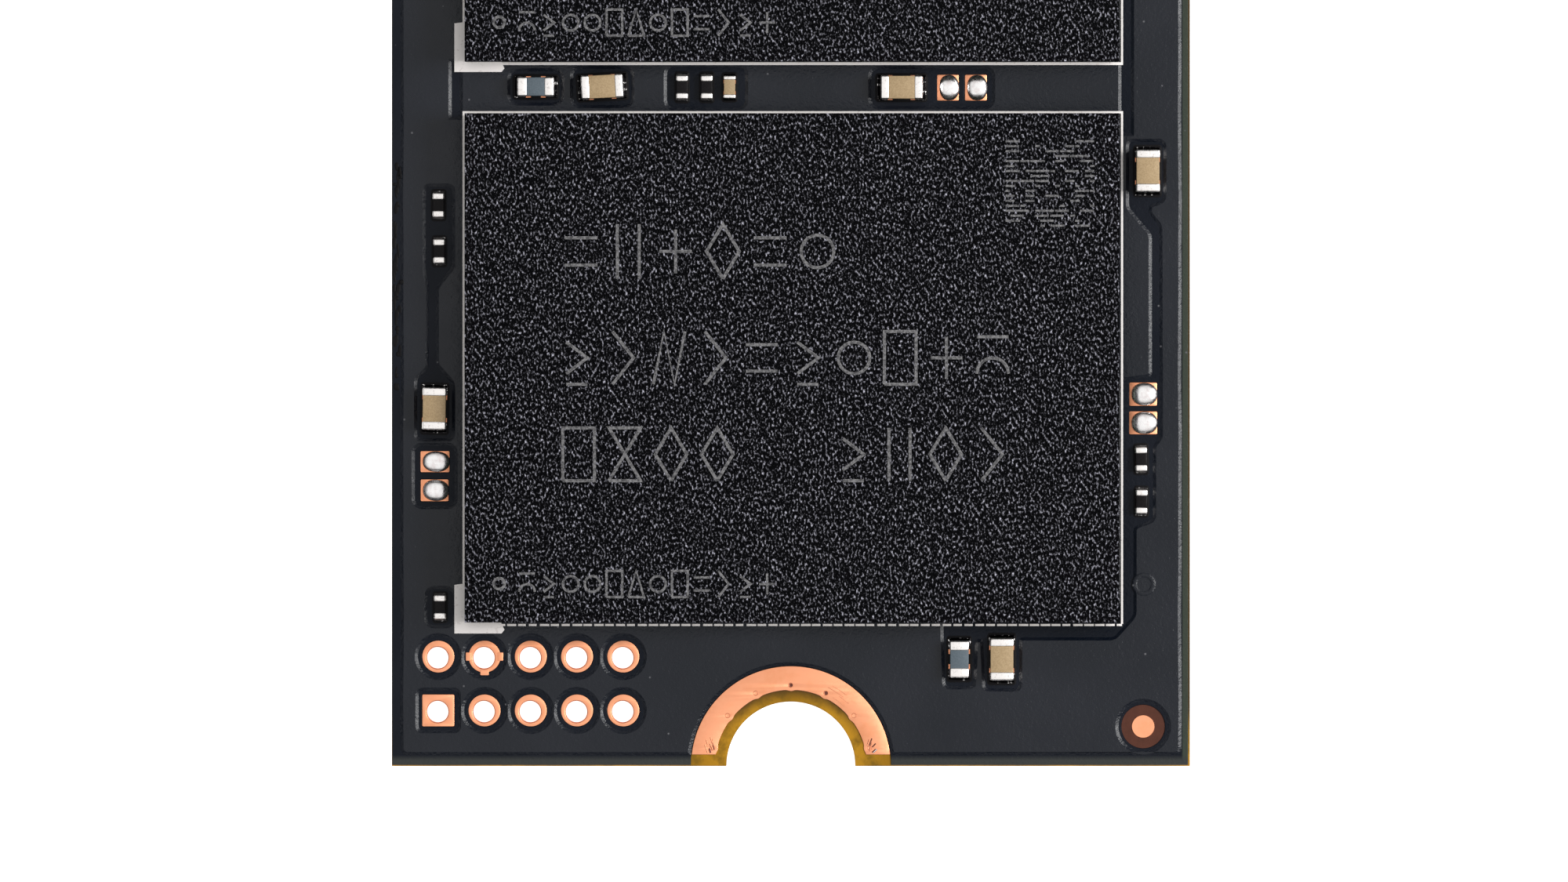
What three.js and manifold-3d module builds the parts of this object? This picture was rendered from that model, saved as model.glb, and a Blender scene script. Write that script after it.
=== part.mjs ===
// Solid state drive: a bare 22 x 80 mm memory card with a keyed edge plug at one end and a half-round
// screw seat at the other. Everything is soldered to one side of the board, and nothing on it moves.
// Millimetres, +Z up. The origin is the middle of the underside, +Y points to the edge plug, and -Y
// to the screw seat.
import * as THREE from "three";
import { mergeVertices } from "three/addons/utils/BufferGeometryUtils.js";
import Module from "manifold-3d";

// ---- Driving dimensions ----

// Board
const CARD_WIDTH = 22;
const CARD_LENGTH = 80;
const LAMINATE = 0.73; // glass-epoxy core
const FILM = 0.035; // solder mask on each face
const PAD = 0.025; // bare and plated copper on each face

// Screw seat: a half hole centred on the board's end, in a bare copper half ring
const SEAT_HOLE_R = 1.775;
const SEAT_RING_INNER_R = 2.06;
const SEAT_RING_OUTER_R = 2.75;
const SEAT_RING_SETBACK = 0.32; // copper stays this far from the board's end
const MASK_GAP = 0.03; // mask opening around a pad

// Edge plug
const PLUG_WIDTH = 19.85;
const PLUG_LENGTH = 4;
const PLUG_CORNER_R = 0.5;
const PLUG_BEVEL_LENGTH = 0.25;
const PLUG_BEVEL_DEPTH = 0.13;
const KEY_X = 6.125;
const KEY_R = 0.6;
const KEY_DEPTH = 3.5;
const CONTACT_PITCH = 0.5;
const CONTACT_WIDTH = 0.35;
const CONTACT_SETBACK = 0.27; // from the board's end to a contact's tip
const CONTACT_BAR = 0.12; // the plating bar that joins a row
const MASK_SETBACK = 3; // from the board's end to the solder mask

// Service header: two rows of plated holes beside the screw seat
const HEADER_X = -7.17;
const HEADER_Y = 2.275;
const HEADER_PITCH = 1.275;
const HEADER_ROW_GAP = 1.485;
const HEADER_COLUMNS = 5;
const BARREL_HOLE_R = 0.305;
const BARREL_WALL_R = 0.335;
const BARREL_PAD_R = 0.442;
const BARREL_BORE_R = 0.36; // the hole drilled in the laminate
const BARREL_SIDES = 12;

// Solder joints and packages
const BALL_GAP = 0.22; // from the board to a ball-grid package
const BALL_R = 0.2;
const BALL_SIDES = 6;
const DIE_CLEARANCE = 0.06;
const END_CAP_PROUD = 0.012; // metal ends stand this far out of a chip component's body

const HALF_WIDTH = CARD_WIDTH / 2;
const SEAT_END = -CARD_LENGTH / 2;
const PLUG_END = CARD_LENGTH / 2;
const LAMINATE_BOTTOM = FILM;
const LAMINATE_TOP = FILM + LAMINATE;
const CARD_TOP = LAMINATE_TOP + FILM;

const SMALL = 1e-3;

// ---- Finishes ----

const finish = (color, roughness, metalness = 0) =>
  new THREE.MeshStandardMaterial({ color, roughness, metalness });

const FINISH = {
  laminate: finish(0x8a7128, 0.6),
  mask: finish(0x16181b, 0.45),
  copper: finish(0xf0966a, 0.3, 1),
  gold: finish(0xe6b860, 0.25, 1),
  mould: finish(0x1b1b20, 0.55),
  substrate: finish(0x24422c, 0.5),
  silicon: finish(0x5a6270, 0.2, 0.5),
  beigeCeramic: finish(0xb8a07c, 0.5),
  greyCeramic: finish(0x606b74, 0.5),
  resistor: finish(0x2a282b, 0.45),
  ferrite: finish(0x3b3d40, 0.7),
  can: finish(0xc9c7c0, 0.3, 1),
};

// ---- Helpers ----

const wasm = await Module();
wasm.setup();

const drive = new THREE.Group();

/** A distance measured from the screw seat's end, as a y coordinate. */
const fromSeat = (distance) => SEAT_END + distance;

function addPart(name, geometry, material, x = 0, y = 0, angle = 0) {
  const mesh = new THREE.Mesh(geometry, material);
  mesh.name = name;
  mesh.position.set(x, y, 0);
  mesh.rotation.z = THREE.MathUtils.degToRad(angle);
  drive.add(mesh);
}

/** A flat outline raised from one height to another. */
function slab(shape, bottom, top, curveSegments = 12) {
  const geometry = new THREE.ExtrudeGeometry(shape, {
    depth: top - bottom,
    bevelEnabled: false,
    curveSegments,
  });
  return geometry.translate(0, 0, bottom);
}

/** An outline in the YZ plane drawn out along X, centred on x = 0. */
function bar(points, width) {
  const outline = new THREE.Shape(points.map(([y, z]) => new THREE.Vector2(y, z)));
  const geometry = new THREE.ExtrudeGeometry(outline, { depth: width, bevelEnabled: false });
  const turn = new THREE.Matrix4().makeBasis(
    new THREE.Vector3(0, 1, 0),
    new THREE.Vector3(0, 0, 1),
    new THREE.Vector3(1, 0, 0),
  );
  return geometry.translate(0, 0, -width / 2).applyMatrix4(turn);
}

function block(width, length, bottom, top, x = 0, y = 0) {
  const geometry = new THREE.BoxGeometry(width, length, top - bottom);
  return geometry.translate(x, y, (bottom + top) / 2);
}

/** An upright cylinder to cut a round hole with. */
function drill(x, y, radius, bottom, top, sides) {
  const geometry = new THREE.CylinderGeometry(radius, radius, top - bottom, sides);
  return geometry.rotateX(Math.PI / 2).translate(x, y, (bottom + top) / 2);
}

function toSolid(geometry) {
  const bare = geometry.clone();
  bare.deleteAttribute("normal");
  bare.deleteAttribute("uv");
  const merged = mergeVertices(bare, SMALL);
  return new wasm.Manifold(
    new wasm.Mesh({
      numProp: 3,
      vertProperties: merged.attributes.position.array,
      triVerts: new Uint32Array(merged.index.array),
    }),
  );
}

function toGeometry(solid) {
  const mesh = solid.getMesh();
  const geometry = new THREE.BufferGeometry();
  geometry.setAttribute("position", new THREE.BufferAttribute(mesh.vertProperties, 3));
  geometry.setIndex(new THREE.BufferAttribute(mesh.triVerts, 1));
  geometry.computeVertexNormals();
  return geometry;
}

const join = (...geometries) =>
  toGeometry(geometries.map(toSolid).reduce((whole, piece) => whole.add(piece)));

const cut = (geometry, ...tools) =>
  toGeometry(tools.map(toSolid).reduce((whole, tool) => whole.subtract(tool), toSolid(geometry)));

// ---- Board ----

/** The centre of each header hole, seat row first, pin 1 at the board's edge. */
function headerHoles() {
  const holes = [];
  for (let row = 0; row < 2; row += 1) {
    for (let column = 0; column < HEADER_COLUMNS; column += 1) {
      holes.push([
        HEADER_X + (column - (HEADER_COLUMNS - 1) / 2) * HEADER_PITCH,
        fromSeat(HEADER_Y) + (row - 0.5) * HEADER_ROW_GAP,
      ]);
    }
  }
  return holes;
}

/** The board's outline, ending at endY on the plug side, with a half hole of seatR at the other end. */
function cardOutline(endY, seatR) {
  const shoulder = PLUG_END - PLUG_LENGTH;
  const half = PLUG_WIDTH / 2;
  const keyCentre = PLUG_END - KEY_DEPTH + KEY_R;
  const keyAngle = Math.asin(Math.min(0, endY - keyCentre) / KEY_R);
  const corner = shoulder + PLUG_CORNER_R;
  const shape = new THREE.Shape();
  shape.moveTo(-HALF_WIDTH, SEAT_END);
  shape.lineTo(-seatR, SEAT_END);
  shape.absarc(0, SEAT_END, seatR, Math.PI, 0, true);
  shape.lineTo(HALF_WIDTH, SEAT_END);
  shape.lineTo(HALF_WIDTH, shoulder);
  shape.absarc(half + PLUG_CORNER_R, corner, PLUG_CORNER_R, -Math.PI / 2, -Math.PI, true);
  shape.lineTo(half, endY);
  shape.lineTo(KEY_X + KEY_R * Math.cos(keyAngle), endY);
  shape.absarc(KEY_X, keyCentre, KEY_R, keyAngle, -Math.PI - keyAngle, true);
  shape.lineTo(KEY_X - KEY_R * Math.cos(keyAngle), endY);
  shape.lineTo(-half, endY);
  shape.absarc(-half - PLUG_CORNER_R, corner, PLUG_CORNER_R, 0, -Math.PI / 2, true);
  shape.lineTo(-HALF_WIDTH, shoulder);
  shape.closePath();
  return shape;
}

/** A long wedge that bevels the plug's leading edge on the upper face (side 1) or the lower one (side -1). */
function bevelTool(faceZ, side) {
  const clear = 0.2;
  const start = PLUG_END - PLUG_BEVEL_LENGTH;
  const depth = PLUG_BEVEL_DEPTH * (1 + clear / PLUG_BEVEL_LENGTH);
  const points = [
    [start, faceZ],
    [PLUG_END + clear, faceZ - side * depth],
    [PLUG_END + clear, faceZ + side * clear],
    [start, faceZ + side * clear],
  ];
  return bar(points, CARD_WIDTH);
}

function addLaminate() {
  const core = slab(cardOutline(PLUG_END, SEAT_HOLE_R), LAMINATE_BOTTOM, LAMINATE_TOP, 20);
  const bevels = [bevelTool(LAMINATE_TOP, 1), bevelTool(LAMINATE_BOTTOM, -1)];
  const bores = headerHoles().map(([x, y]) => drill(x, y, BARREL_BORE_R, -1, CARD_TOP + 1, BARREL_SIDES));
  addPart("board_laminate", cut(core, ...bevels, ...bores), FINISH.laminate);
}

/** A film of solder mask on one face, open around the screw seat, the header's pads and the plug. */
function addSolderMask(name, bottom) {
  const outline = cardOutline(PLUG_END - MASK_SETBACK, SEAT_RING_OUTER_R + MASK_GAP);
  const film = slab(outline, bottom, bottom + FILM, 16);
  const openR = BARREL_PAD_R + MASK_GAP;
  const openings = headerHoles().map(([x, y], i) => {
    if (i === 0) return block(2 * openR, 2 * openR, -1, CARD_TOP + 1, x, y);
    return drill(x, y, openR, -1, CARD_TOP + 1, 2 * BARREL_SIDES);
  });
  addPart(name, cut(film, ...openings), FINISH.mask);
}

/** The bare copper half ring that the screw's head or the standoff presses on. */
function addSeatRing(name, bottom) {
  const start = (radius) => Math.asin(SEAT_RING_SETBACK / radius);
  const outer = start(SEAT_RING_OUTER_R);
  const inner = start(SEAT_RING_INNER_R);
  const shape = new THREE.Shape();
  shape.absarc(0, SEAT_END, SEAT_RING_OUTER_R, outer, Math.PI - outer, false);
  shape.absarc(0, SEAT_END, SEAT_RING_INNER_R, Math.PI - inner, inner, true);
  shape.closePath();
  addPart(name, slab(shape, bottom, bottom + PAD, 24), FINISH.copper);
}

/** One plated hole of the service header: a copper tube with a pad on each face of the board. */
function addHeaderBarrel(name, x, y, square) {
  const low = LAMINATE_BOTTOM - PAD;
  const high = LAMINATE_TOP + PAD;
  const profile = [
    [BARREL_HOLE_R, low],
    [BARREL_PAD_R, low],
    [BARREL_PAD_R, LAMINATE_BOTTOM],
    [BARREL_WALL_R, LAMINATE_BOTTOM],
    [BARREL_WALL_R, LAMINATE_TOP],
    [BARREL_PAD_R, LAMINATE_TOP],
    [BARREL_PAD_R, high],
    [BARREL_HOLE_R, high],
    [BARREL_HOLE_R, low],
  ].map(([r, z]) => new THREE.Vector2(r, z));
  const barrel = new THREE.LatheGeometry(profile, BARREL_SIDES).rotateX(Math.PI / 2);
  if (!square) {
    addPart(name, barrel, FINISH.copper, x, y);
    return;
  }
  const side = 2 * BARREL_PAD_R;
  const hole = drill(0, 0, BARREL_WALL_R, -1, CARD_TOP + 1, BARREL_SIDES);
  const plates = [block(side, side, low, LAMINATE_BOTTOM), block(side, side, LAMINATE_TOP, high)];
  addPart(name, join(barrel, ...plates.map((plate) => cut(plate, hole))), FINISH.copper, x, y);
}

// ---- Edge contacts ----

/** A row of contacts from one x to another, joined at the back by a thin plating bar. */
function addContactRow(name, bottom, firstX, lastX) {
  const back = PLUG_END - MASK_SETBACK;
  const root = back + CONTACT_BAR;
  const tip = PLUG_END - CONTACT_SETBACK;
  const half = CONTACT_WIDTH / 2;
  const count = Math.round((lastX - firstX) / CONTACT_PITCH) + 1;
  const shape = new THREE.Shape();
  shape.moveTo(lastX + half, back);
  for (let i = count - 1; i >= 0; i -= 1) {
    const x = firstX + i * CONTACT_PITCH;
    if (i < count - 1) shape.lineTo(x + half, root);
    shape.lineTo(x + half, tip);
    shape.lineTo(x - half, tip);
    if (i > 0) shape.lineTo(x - half, root);
  }
  shape.lineTo(firstX - half, back);
  shape.closePath();
  addPart(name, slab(shape, bottom, bottom + PAD), FINISH.gold);
}

// ---- Packages ----

/** Thinned dies stacked like stairs, each stepped back by shift so that its bond pads stay clear. */
function dieStack({ width, length, count, thickness, shift }, bottom) {
  const half = length / 2;
  const middle = ((count - 1) * shift) / 2;
  const right = [];
  const left = [];
  for (let i = 0; i < count; i += 1) {
    const offset = i * shift - middle;
    const low = bottom + i * thickness;
    right.push([offset + half, low], [offset + half, low + thickness]);
    left.unshift([offset - half, low + thickness], [offset - half, low]);
  }
  return bar([...right, ...left], width);
}

/** A moulded ball-grid package: a substrate on solder balls, dies on it, and a mould cap over them. */
function addBallGridPackage(name, { x, y, width, length, substrate, mould, die, balls }) {
  const low = CARD_TOP + BALL_GAP;
  const deck = low + substrate;
  const top = deck + mould;
  const posts = [];
  for (let i = 0; i < balls.columns; i += 1) {
    for (let j = 0; j < balls.rows; j += 1) {
      const post = new THREE.CylinderGeometry(BALL_R, BALL_R, BALL_GAP + substrate / 2, BALL_SIDES);
      post.rotateX(Math.PI / 2);
      post.translate(
        (i - (balls.columns - 1) / 2) * balls.pitchX,
        (j - (balls.rows - 1) / 2) * balls.pitchY,
        CARD_TOP + (BALL_GAP + substrate / 2) / 2,
      );
      posts.push(post);
    }
  }
  addPart(`${name}_substrate`, join(block(width, length, low, deck), ...posts), FINISH.substrate, x, y);

  const stackHeight = die.count * die.thickness;
  const stackLength = die.length + (die.count - 1) * Math.abs(die.shift);
  const pocket = block(
    die.width + 2 * DIE_CLEARANCE,
    stackLength + 2 * DIE_CLEARANCE,
    deck - DIE_CLEARANCE,
    deck + stackHeight + DIE_CLEARANCE,
  );
  addPart(`${name}_mould_cap`, cut(block(width, length, deck, top), pocket), FINISH.mould, x, y);
  addPart(`${name}_die_stack`, dieStack(die, deck), FINISH.silicon, x, y);
}

/** A low package soldered flat to the board, such as a power chip or a small memory. */
function addFlatPackage(name, x, y, width, length, height) {
  addPart(name, block(width, length, CARD_TOP, CARD_TOP + height), FINISH.mould, x, y);
}

/** A shielded power inductor: a pressed block with clipped corners on two metal feet. */
function addInductor(name, x, y, angle) {
  const [length, width, height, clip, foot, lift] = [2.5, 2, 1, 0.2, 0.55, 0.03];
  const outline = new THREE.Shape();
  const corners = [
    [length / 2, width / 2],
    [-length / 2, width / 2],
    [-length / 2, -width / 2],
    [length / 2, -width / 2],
  ];
  corners.forEach(([cx, cy], i) => {
    const alongX = new THREE.Vector2(cx - Math.sign(cx) * clip, cy);
    const alongY = new THREE.Vector2(cx, cy - Math.sign(cy) * clip);
    const [first, second] = i % 2 === 0 ? [alongY, alongX] : [alongX, alongY];
    if (i === 0) outline.moveTo(first.x, first.y);
    else outline.lineTo(first.x, first.y);
    outline.lineTo(second.x, second.y);
  });
  outline.closePath();
  const body = slab(outline, CARD_TOP + lift, CARD_TOP + height);
  const footX = (length - foot) / 2 - clip;
  const feet = [-footX, footX].map((fx) => block(foot, width - 2 * clip, CARD_TOP, CARD_TOP + 2 * lift, fx));
  addPart(name, join(body, ...feet), FINISH.ferrite, x, y, angle);
}

/** A crystal in a ceramic tray with a metal lid. */
function addCrystal(name, x, y) {
  const [width, length, tray, top, rim] = [1.6, 2, 0.35, 0.5, 0.12];
  const base = block(width, length, CARD_TOP, CARD_TOP + tray);
  const lid = block(width - 2 * rim, length - 2 * rim, CARD_TOP + tray / 2, CARD_TOP + top);
  addPart(name, join(base, lid), FINISH.can, x, y);
}

/** A chip capacitor, resistor or fuse: a block with a metal cap over each end, lying along its own X. */
function addChip(name, { x, y, length, width, height, cap, angle = 0 }, material) {
  const p = END_CAP_PROUD;
  const middle = block(length - cap, width - 2 * p, CARD_TOP + p, CARD_TOP + height - p);
  const ends = [-1, 1].map((side) =>
    block(cap, width, CARD_TOP, CARD_TOP + height, (side * (length - cap)) / 2),
  );
  addPart(name, join(middle, ...ends), material, x, fromSeat(y), angle);
}

// ---- Assembly ----

addLaminate();
addSolderMask("solder_mask_top", LAMINATE_TOP);
addSolderMask("solder_mask_bottom", 0);
addSeatRing("screw_seat_ring_top", LAMINATE_TOP);
addSeatRing("screw_seat_ring_bottom", LAMINATE_BOTTOM - PAD);
headerHoles().forEach(([x, y], i) => addHeaderBarrel(`header_barrel_${i + 1}`, x, y, i === 0));

// Contacts 0.5 mm apart on each face, the two faces half a pitch out of step, none at the key.
addContactRow("edge_contacts_top_long", LAMINATE_TOP, -9.25, 4.75);
addContactRow("edge_contacts_top_short", LAMINATE_TOP, 7.25, 9.25);
addContactRow("edge_contacts_bottom_long", LAMINATE_BOTTOM - PAD, -9, 5);
addContactRow("edge_contacts_bottom_short", LAMINATE_BOTTOM - PAD, 7.5, 9);

const FLASH = {
  x: 0.03,
  width: 18,
  length: 14,
  substrate: 0.2,
  mould: 0.83,
  die: { width: 11.6, length: 6.4, count: 8, thickness: 0.07, shift: 0.28 },
  balls: { columns: 7, rows: 6, pitchX: 2.4, pitchY: 2.2 },
};
addBallGridPackage("flash_1", { ...FLASH, y: fromSeat(10.97) });
addBallGridPackage("flash_2", { ...FLASH, y: fromSeat(26.4) });
addBallGridPackage("cache_memory", {
  x: -1.4,
  y: fromSeat(40.3),
  width: 15,
  length: 10,
  substrate: 0.15,
  mould: 0.6,
  die: { width: 8.4, length: 7.6, count: 2, thickness: 0.12, shift: 0.3 },
  balls: { columns: 6, rows: 4, pitchX: 2.4, pitchY: 2.2 },
});
addBallGridPackage("controller", {
  x: -1.9,
  y: fromSeat(54),
  width: 15,
  length: 15,
  substrate: 0.3,
  mould: 0.55,
  die: { width: 8.2, length: 7.4, count: 1, thickness: 0.38, shift: 0 },
  balls: { columns: 6, rows: 6, pitchX: 2.5, pitchY: 2.5 },
});

addFlatPackage("power_manager", -3.6, fromSeat(67.3), 5, 5, 0.8);
addFlatPackage("boot_memory", 8.35, fromSeat(57.6), 2, 3, 0.6);
addFlatPackage("load_switch", 7.6, fromSeat(70.9), 2, 2, 0.75);
addCrystal("clock_crystal", 8.5, fromSeat(51.6));
addInductor("power_inductor_1", -8.7, fromSeat(64.6), 90);
addInductor("power_inductor_2", -8.7, fromSeat(68.2), 90);
addInductor("power_inductor_3", 1.5, fromSeat(65.2), 90);
addInductor("power_inductor_4", 1.5, fromSeat(68.7), 90);

// Chip components. Sizes are length, width, height and the metal ends' length.
const BULK = { length: 2, width: 1.25, height: 1, cap: 0.4 };
const LARGE = { length: 1.13, width: 0.64, height: 0.6, cap: 0.25 };
const MEDIUM = { length: 1, width: 0.5, height: 0.5, cap: 0.26 };
const SMALL_CAPACITOR = { length: 0.57, width: 0.31, height: 0.3, cap: 0.13 };
const SMALL_RESISTOR = { length: 0.6, width: 0.31, height: 0.23, cap: 0.14 };
const FUSE = { length: 1.6, width: 0.8, height: 0.45, cap: 0.3 };

// Beside the screw seat and the first flash package
addChip("capacitor_1", { ...LARGE, x: 5.81, y: 2.95, angle: 90 }, FINISH.beigeCeramic);
addChip("capacitor_2", { ...MEDIUM, x: 4.64, y: 2.95, angle: 90 }, FINISH.greyCeramic);
addChip("capacitor_3", { ...LARGE, x: -9.82, y: 9.85, angle: 89 }, FINISH.beigeCeramic);
addChip("capacitor_4", { ...LARGE, x: 9.83, y: 16.4, angle: 90 }, FINISH.beigeCeramic);
addChip("resistor_1", { ...SMALL_RESISTOR, x: -9.67, y: 4.38, angle: 90 }, FINISH.resistor);
addChip("resistor_2", { ...SMALL_RESISTOR, x: -9.69, y: 14.19, angle: 90 }, FINISH.resistor);
addChip("resistor_3", { ...SMALL_RESISTOR, x: -9.71, y: 15.46, angle: 90 }, FINISH.resistor);
addChip("resistor_4", { ...SMALL_RESISTOR, x: 9.66, y: 7.29, angle: 89 }, FINISH.resistor);
addChip("resistor_5", { ...SMALL_RESISTOR, x: 9.65, y: 8.46, angle: 91 }, FINISH.resistor);
// Between the two flash packages
addChip("capacitor_5", { ...MEDIUM, x: -7.03, y: 18.72 }, FINISH.greyCeramic);
addChip("capacitor_6", { ...LARGE, x: -5.2, y: 18.72, angle: 3 }, FINISH.beigeCeramic);
addChip("resistor_6", { ...SMALL_RESISTOR, x: -3, y: 18.71, angle: 90 }, FINISH.resistor);
addChip("resistor_7", { ...SMALL_RESISTOR, x: -2.32, y: 18.71, angle: 90 }, FINISH.resistor);
addChip("capacitor_7", { ...SMALL_CAPACITOR, x: -1.69, y: 18.71, angle: 90 }, FINISH.beigeCeramic);
addChip("capacitor_8", { ...LARGE, x: 3.05, y: 18.7 }, FINISH.beigeCeramic);
// Supply input
addChip("bulk_capacitor_1", { ...BULK, x: 5.4, y: 64.3, angle: 90 }, FINISH.beigeCeramic);
addChip("bulk_capacitor_2", { ...BULK, x: 5.4, y: 67, angle: 90 }, FINISH.beigeCeramic);
addChip("input_fuse", { ...FUSE, x: 8.9, y: 67.4, angle: 90 }, FINISH.resistor);

export default drive;
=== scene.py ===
import math
import random
from collections import namedtuple

import bmesh
import bpy
from mathutils import Matrix, Vector


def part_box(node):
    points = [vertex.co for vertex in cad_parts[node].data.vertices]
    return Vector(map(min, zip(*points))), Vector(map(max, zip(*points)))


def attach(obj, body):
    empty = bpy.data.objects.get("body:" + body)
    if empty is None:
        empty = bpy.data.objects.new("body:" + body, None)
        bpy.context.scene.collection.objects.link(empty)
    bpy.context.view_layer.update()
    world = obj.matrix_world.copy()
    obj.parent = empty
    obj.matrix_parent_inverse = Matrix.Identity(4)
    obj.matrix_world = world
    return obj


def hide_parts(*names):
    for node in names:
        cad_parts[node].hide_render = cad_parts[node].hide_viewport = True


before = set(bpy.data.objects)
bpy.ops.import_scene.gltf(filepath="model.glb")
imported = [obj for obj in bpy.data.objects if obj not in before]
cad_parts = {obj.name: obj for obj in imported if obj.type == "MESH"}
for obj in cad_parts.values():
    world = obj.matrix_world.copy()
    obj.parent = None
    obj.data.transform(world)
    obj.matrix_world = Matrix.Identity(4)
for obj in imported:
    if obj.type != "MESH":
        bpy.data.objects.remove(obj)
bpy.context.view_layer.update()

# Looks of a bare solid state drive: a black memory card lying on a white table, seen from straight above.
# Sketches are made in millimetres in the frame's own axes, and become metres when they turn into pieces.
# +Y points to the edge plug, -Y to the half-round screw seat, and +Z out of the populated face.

MM = 0.001


Box = namedtuple("Box", "low high centre size")


def box_mm(node):
    """A CAD node's box, in millimetres."""
    low, high = (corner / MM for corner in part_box(node))
    return Box(low, high, (low + high) / 2, high - low)


# ---- Driving dimensions, in millimetres ----

BOARD = box_mm("board_laminate")
HALF_WIDTH = BOARD.high.x
SEAT_END = BOARD.low.y
PLUG_END = BOARD.high.y
COPPER_FLOOR = BOARD.high.z  # where bare copper and the mask start
PAD_TOP = box_mm("screw_seat_ring_top").high.z
MASK_TOP = box_mm("solder_mask_top").high.z
MASK_END = box_mm("solder_mask_top").high.y

EDGE_STRIP = 0.03  # bare laminate along the routed edge
MASK_SHIFT = -0.02  # how far the mask is printed off centre
MASK_MARGIN = 0.004  # from a pad to the mask around it
MASK_LIP = MASK_TOP - COPPER_FLOOR  # width of the slope along the mask's own edges
PLANE_SIDE = 0.235  # from the board's side to the copper plane under the mask
PLANE_END = 0.3  # the same at the screw seat's end
PLANE_STEP = 0.04  # how far the plane lifts the mask
PLANE_TOP = MASK_TOP + PLANE_STEP
PLANE_SLOPE = 0.45  # height over width of the mask's slope at the plane's edge
SILK = 0.012  # thickness of a printed line
MARK_INK = 0.015  # the same for a corner mark, which is printed over the line
LOWER_RELIEF = 0.014  # how far vias and traces stand out of the lower mask
MARK_DEPTH = 0.004  # height of a laser mark's raised grain
SOFT = 0.006  # bevel along the edges of etched copper
OPENING_MARGIN = 0.055  # painted shade: width of the near-black sheet round a chip's pads

PLUG_HALF = 19.85 / 2
PLUG_LENGTH = 4
KEY_X = 6.125
KEY_R = 0.6
KEY_DEPTH = 3.5
SHOULDER_R = 0.5
CONTACT_WIDTH = 0.35
CONTACT_PITCH = 0.5

SEAT_R = 2.75
SEAT_INNER_R = 2.1
STITCH_R = 2.23
STITCH_STEPS = range(-3, 4)  # the seat's stitching vias, counted from its middle
STITCH_PITCH = 25.7  # degrees
OPEN_STITCHES = (2, 3)  # the ones whose middle is painted dark as the shade of an open hole, counted from the right


def from_seat(distance):
    return SEAT_END + distance


# ---- Outlines: lists of (x, y) ----


def arc(x, y, radius, start, end, steps):
    """Points on an arc, from one angle to another, in degrees."""
    angles = [math.radians(start + (end - start) * i / steps) for i in range(steps + 1)]
    return [(x + radius * math.cos(a), y + radius * math.sin(a)) for a in angles]


def rectangle(x0, y0, x1, y1):
    return [(x0, y0), (x1, y0), (x1, y1), (x0, y1)]


def circle(x, y, radius, steps=48):
    return arc(x, y, radius, 0, 360 - 360 / steps, steps - 1)


def rounded_rectangle(x, y, width, length, radius, steps=5):
    points = []
    for quarter, (sx, sy) in enumerate([(1, 1), (-1, 1), (-1, -1), (1, -1)]):
        cx = x + sx * (width / 2 - radius)
        cy = y + sy * (length / 2 - radius)
        points += arc(cx, cy, radius, 90 * quarter, 90 * quarter + 90, steps)
    return points


# ---- Solids: (vertices, faces) ----


def block(width, length, height, bevel=0.02, steps=2):
    """A box with rounded edges, standing on z = 0."""
    work = bmesh.new()
    bmesh.ops.create_cube(work, size=1)
    bmesh.ops.scale(work, vec=(width, length, height), verts=work.verts)
    bmesh.ops.translate(work, vec=(0, 0, height / 2), verts=work.verts)
    bmesh.ops.bevel(work, geom=work.edges[:], offset=bevel, segments=steps, profile=0.5, affect="EDGES")
    work.verts.index_update()
    verts = [v.co.copy() for v in work.verts]
    faces = [[v.index for v in f.verts] for f in work.faces]
    work.free()
    return verts, faces


def tube(rings, closed=False):
    """A solid through equal rings of points, which meets itself or is capped at both ends.

    Where it is capped, each ring runs along the top and then back along the bottom.
    """
    count = len(rings[0])
    verts = [point for ring in rings for point in ring]
    faces = []
    for i in range(len(rings) if closed else len(rings) - 1):
        a = i * count
        b = (i + 1) % len(rings) * count
        for j in range(count):
            k = (j + 1) % count
            faces.append([a + j, b + j, b + k, a + k])
    if not closed:
        last = len(verts) - count
        for j in range(count // 2 - 1):
            strip = [j, j + 1, count - 2 - j, count - 1 - j]
            faces += [strip, [last + k for k in reversed(strip)]]
    return verts, faces


def lathe(profile, sides):
    """A closed profile of (radius, z) turned about Z."""
    turns = arc(0, 0, 1, 0, 360 - 360 / sides, sides - 1)
    return tube([[(r * c, r * s, z) for r, z in profile] for c, s in turns], closed=True)


def dome(width, length, height, squareness=2.6, rings=9, sides=32, lean=0.0):
    """A solder dome on a flat base. Squareness 2 is an ellipse; more fills the corners."""
    verts = [(lean * width, 0, height)]
    for ring in range(1, rings + 1):
        t = ring / rings
        spread = math.sin(t * math.pi / 2)
        z = height * math.cos(t * math.pi / 2) ** 0.85
        for i in range(sides):
            angle = 2 * math.pi * i / sides
            c, s = math.cos(angle), math.sin(angle)
            reach = (abs(c) ** squareness + abs(s) ** squareness) ** (-1 / squareness)
            x = width / 2 * spread * reach * c + lean * width * (1 - t)
            verts.append((x, length / 2 * spread * reach * s, z))
    faces = [[0, 1 + i, 1 + (i + 1) % sides] for i in range(sides)]
    for ring in range(rings - 1):
        a = 1 + ring * sides
        b = a + sides
        for i in range(sides):
            k = (i + 1) % sides
            faces.append([a + i, b + i, b + k, a + k])
    last = 1 + (rings - 1) * sides
    faces.append([last + i for i in reversed(range(sides))])
    return verts, faces


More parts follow.
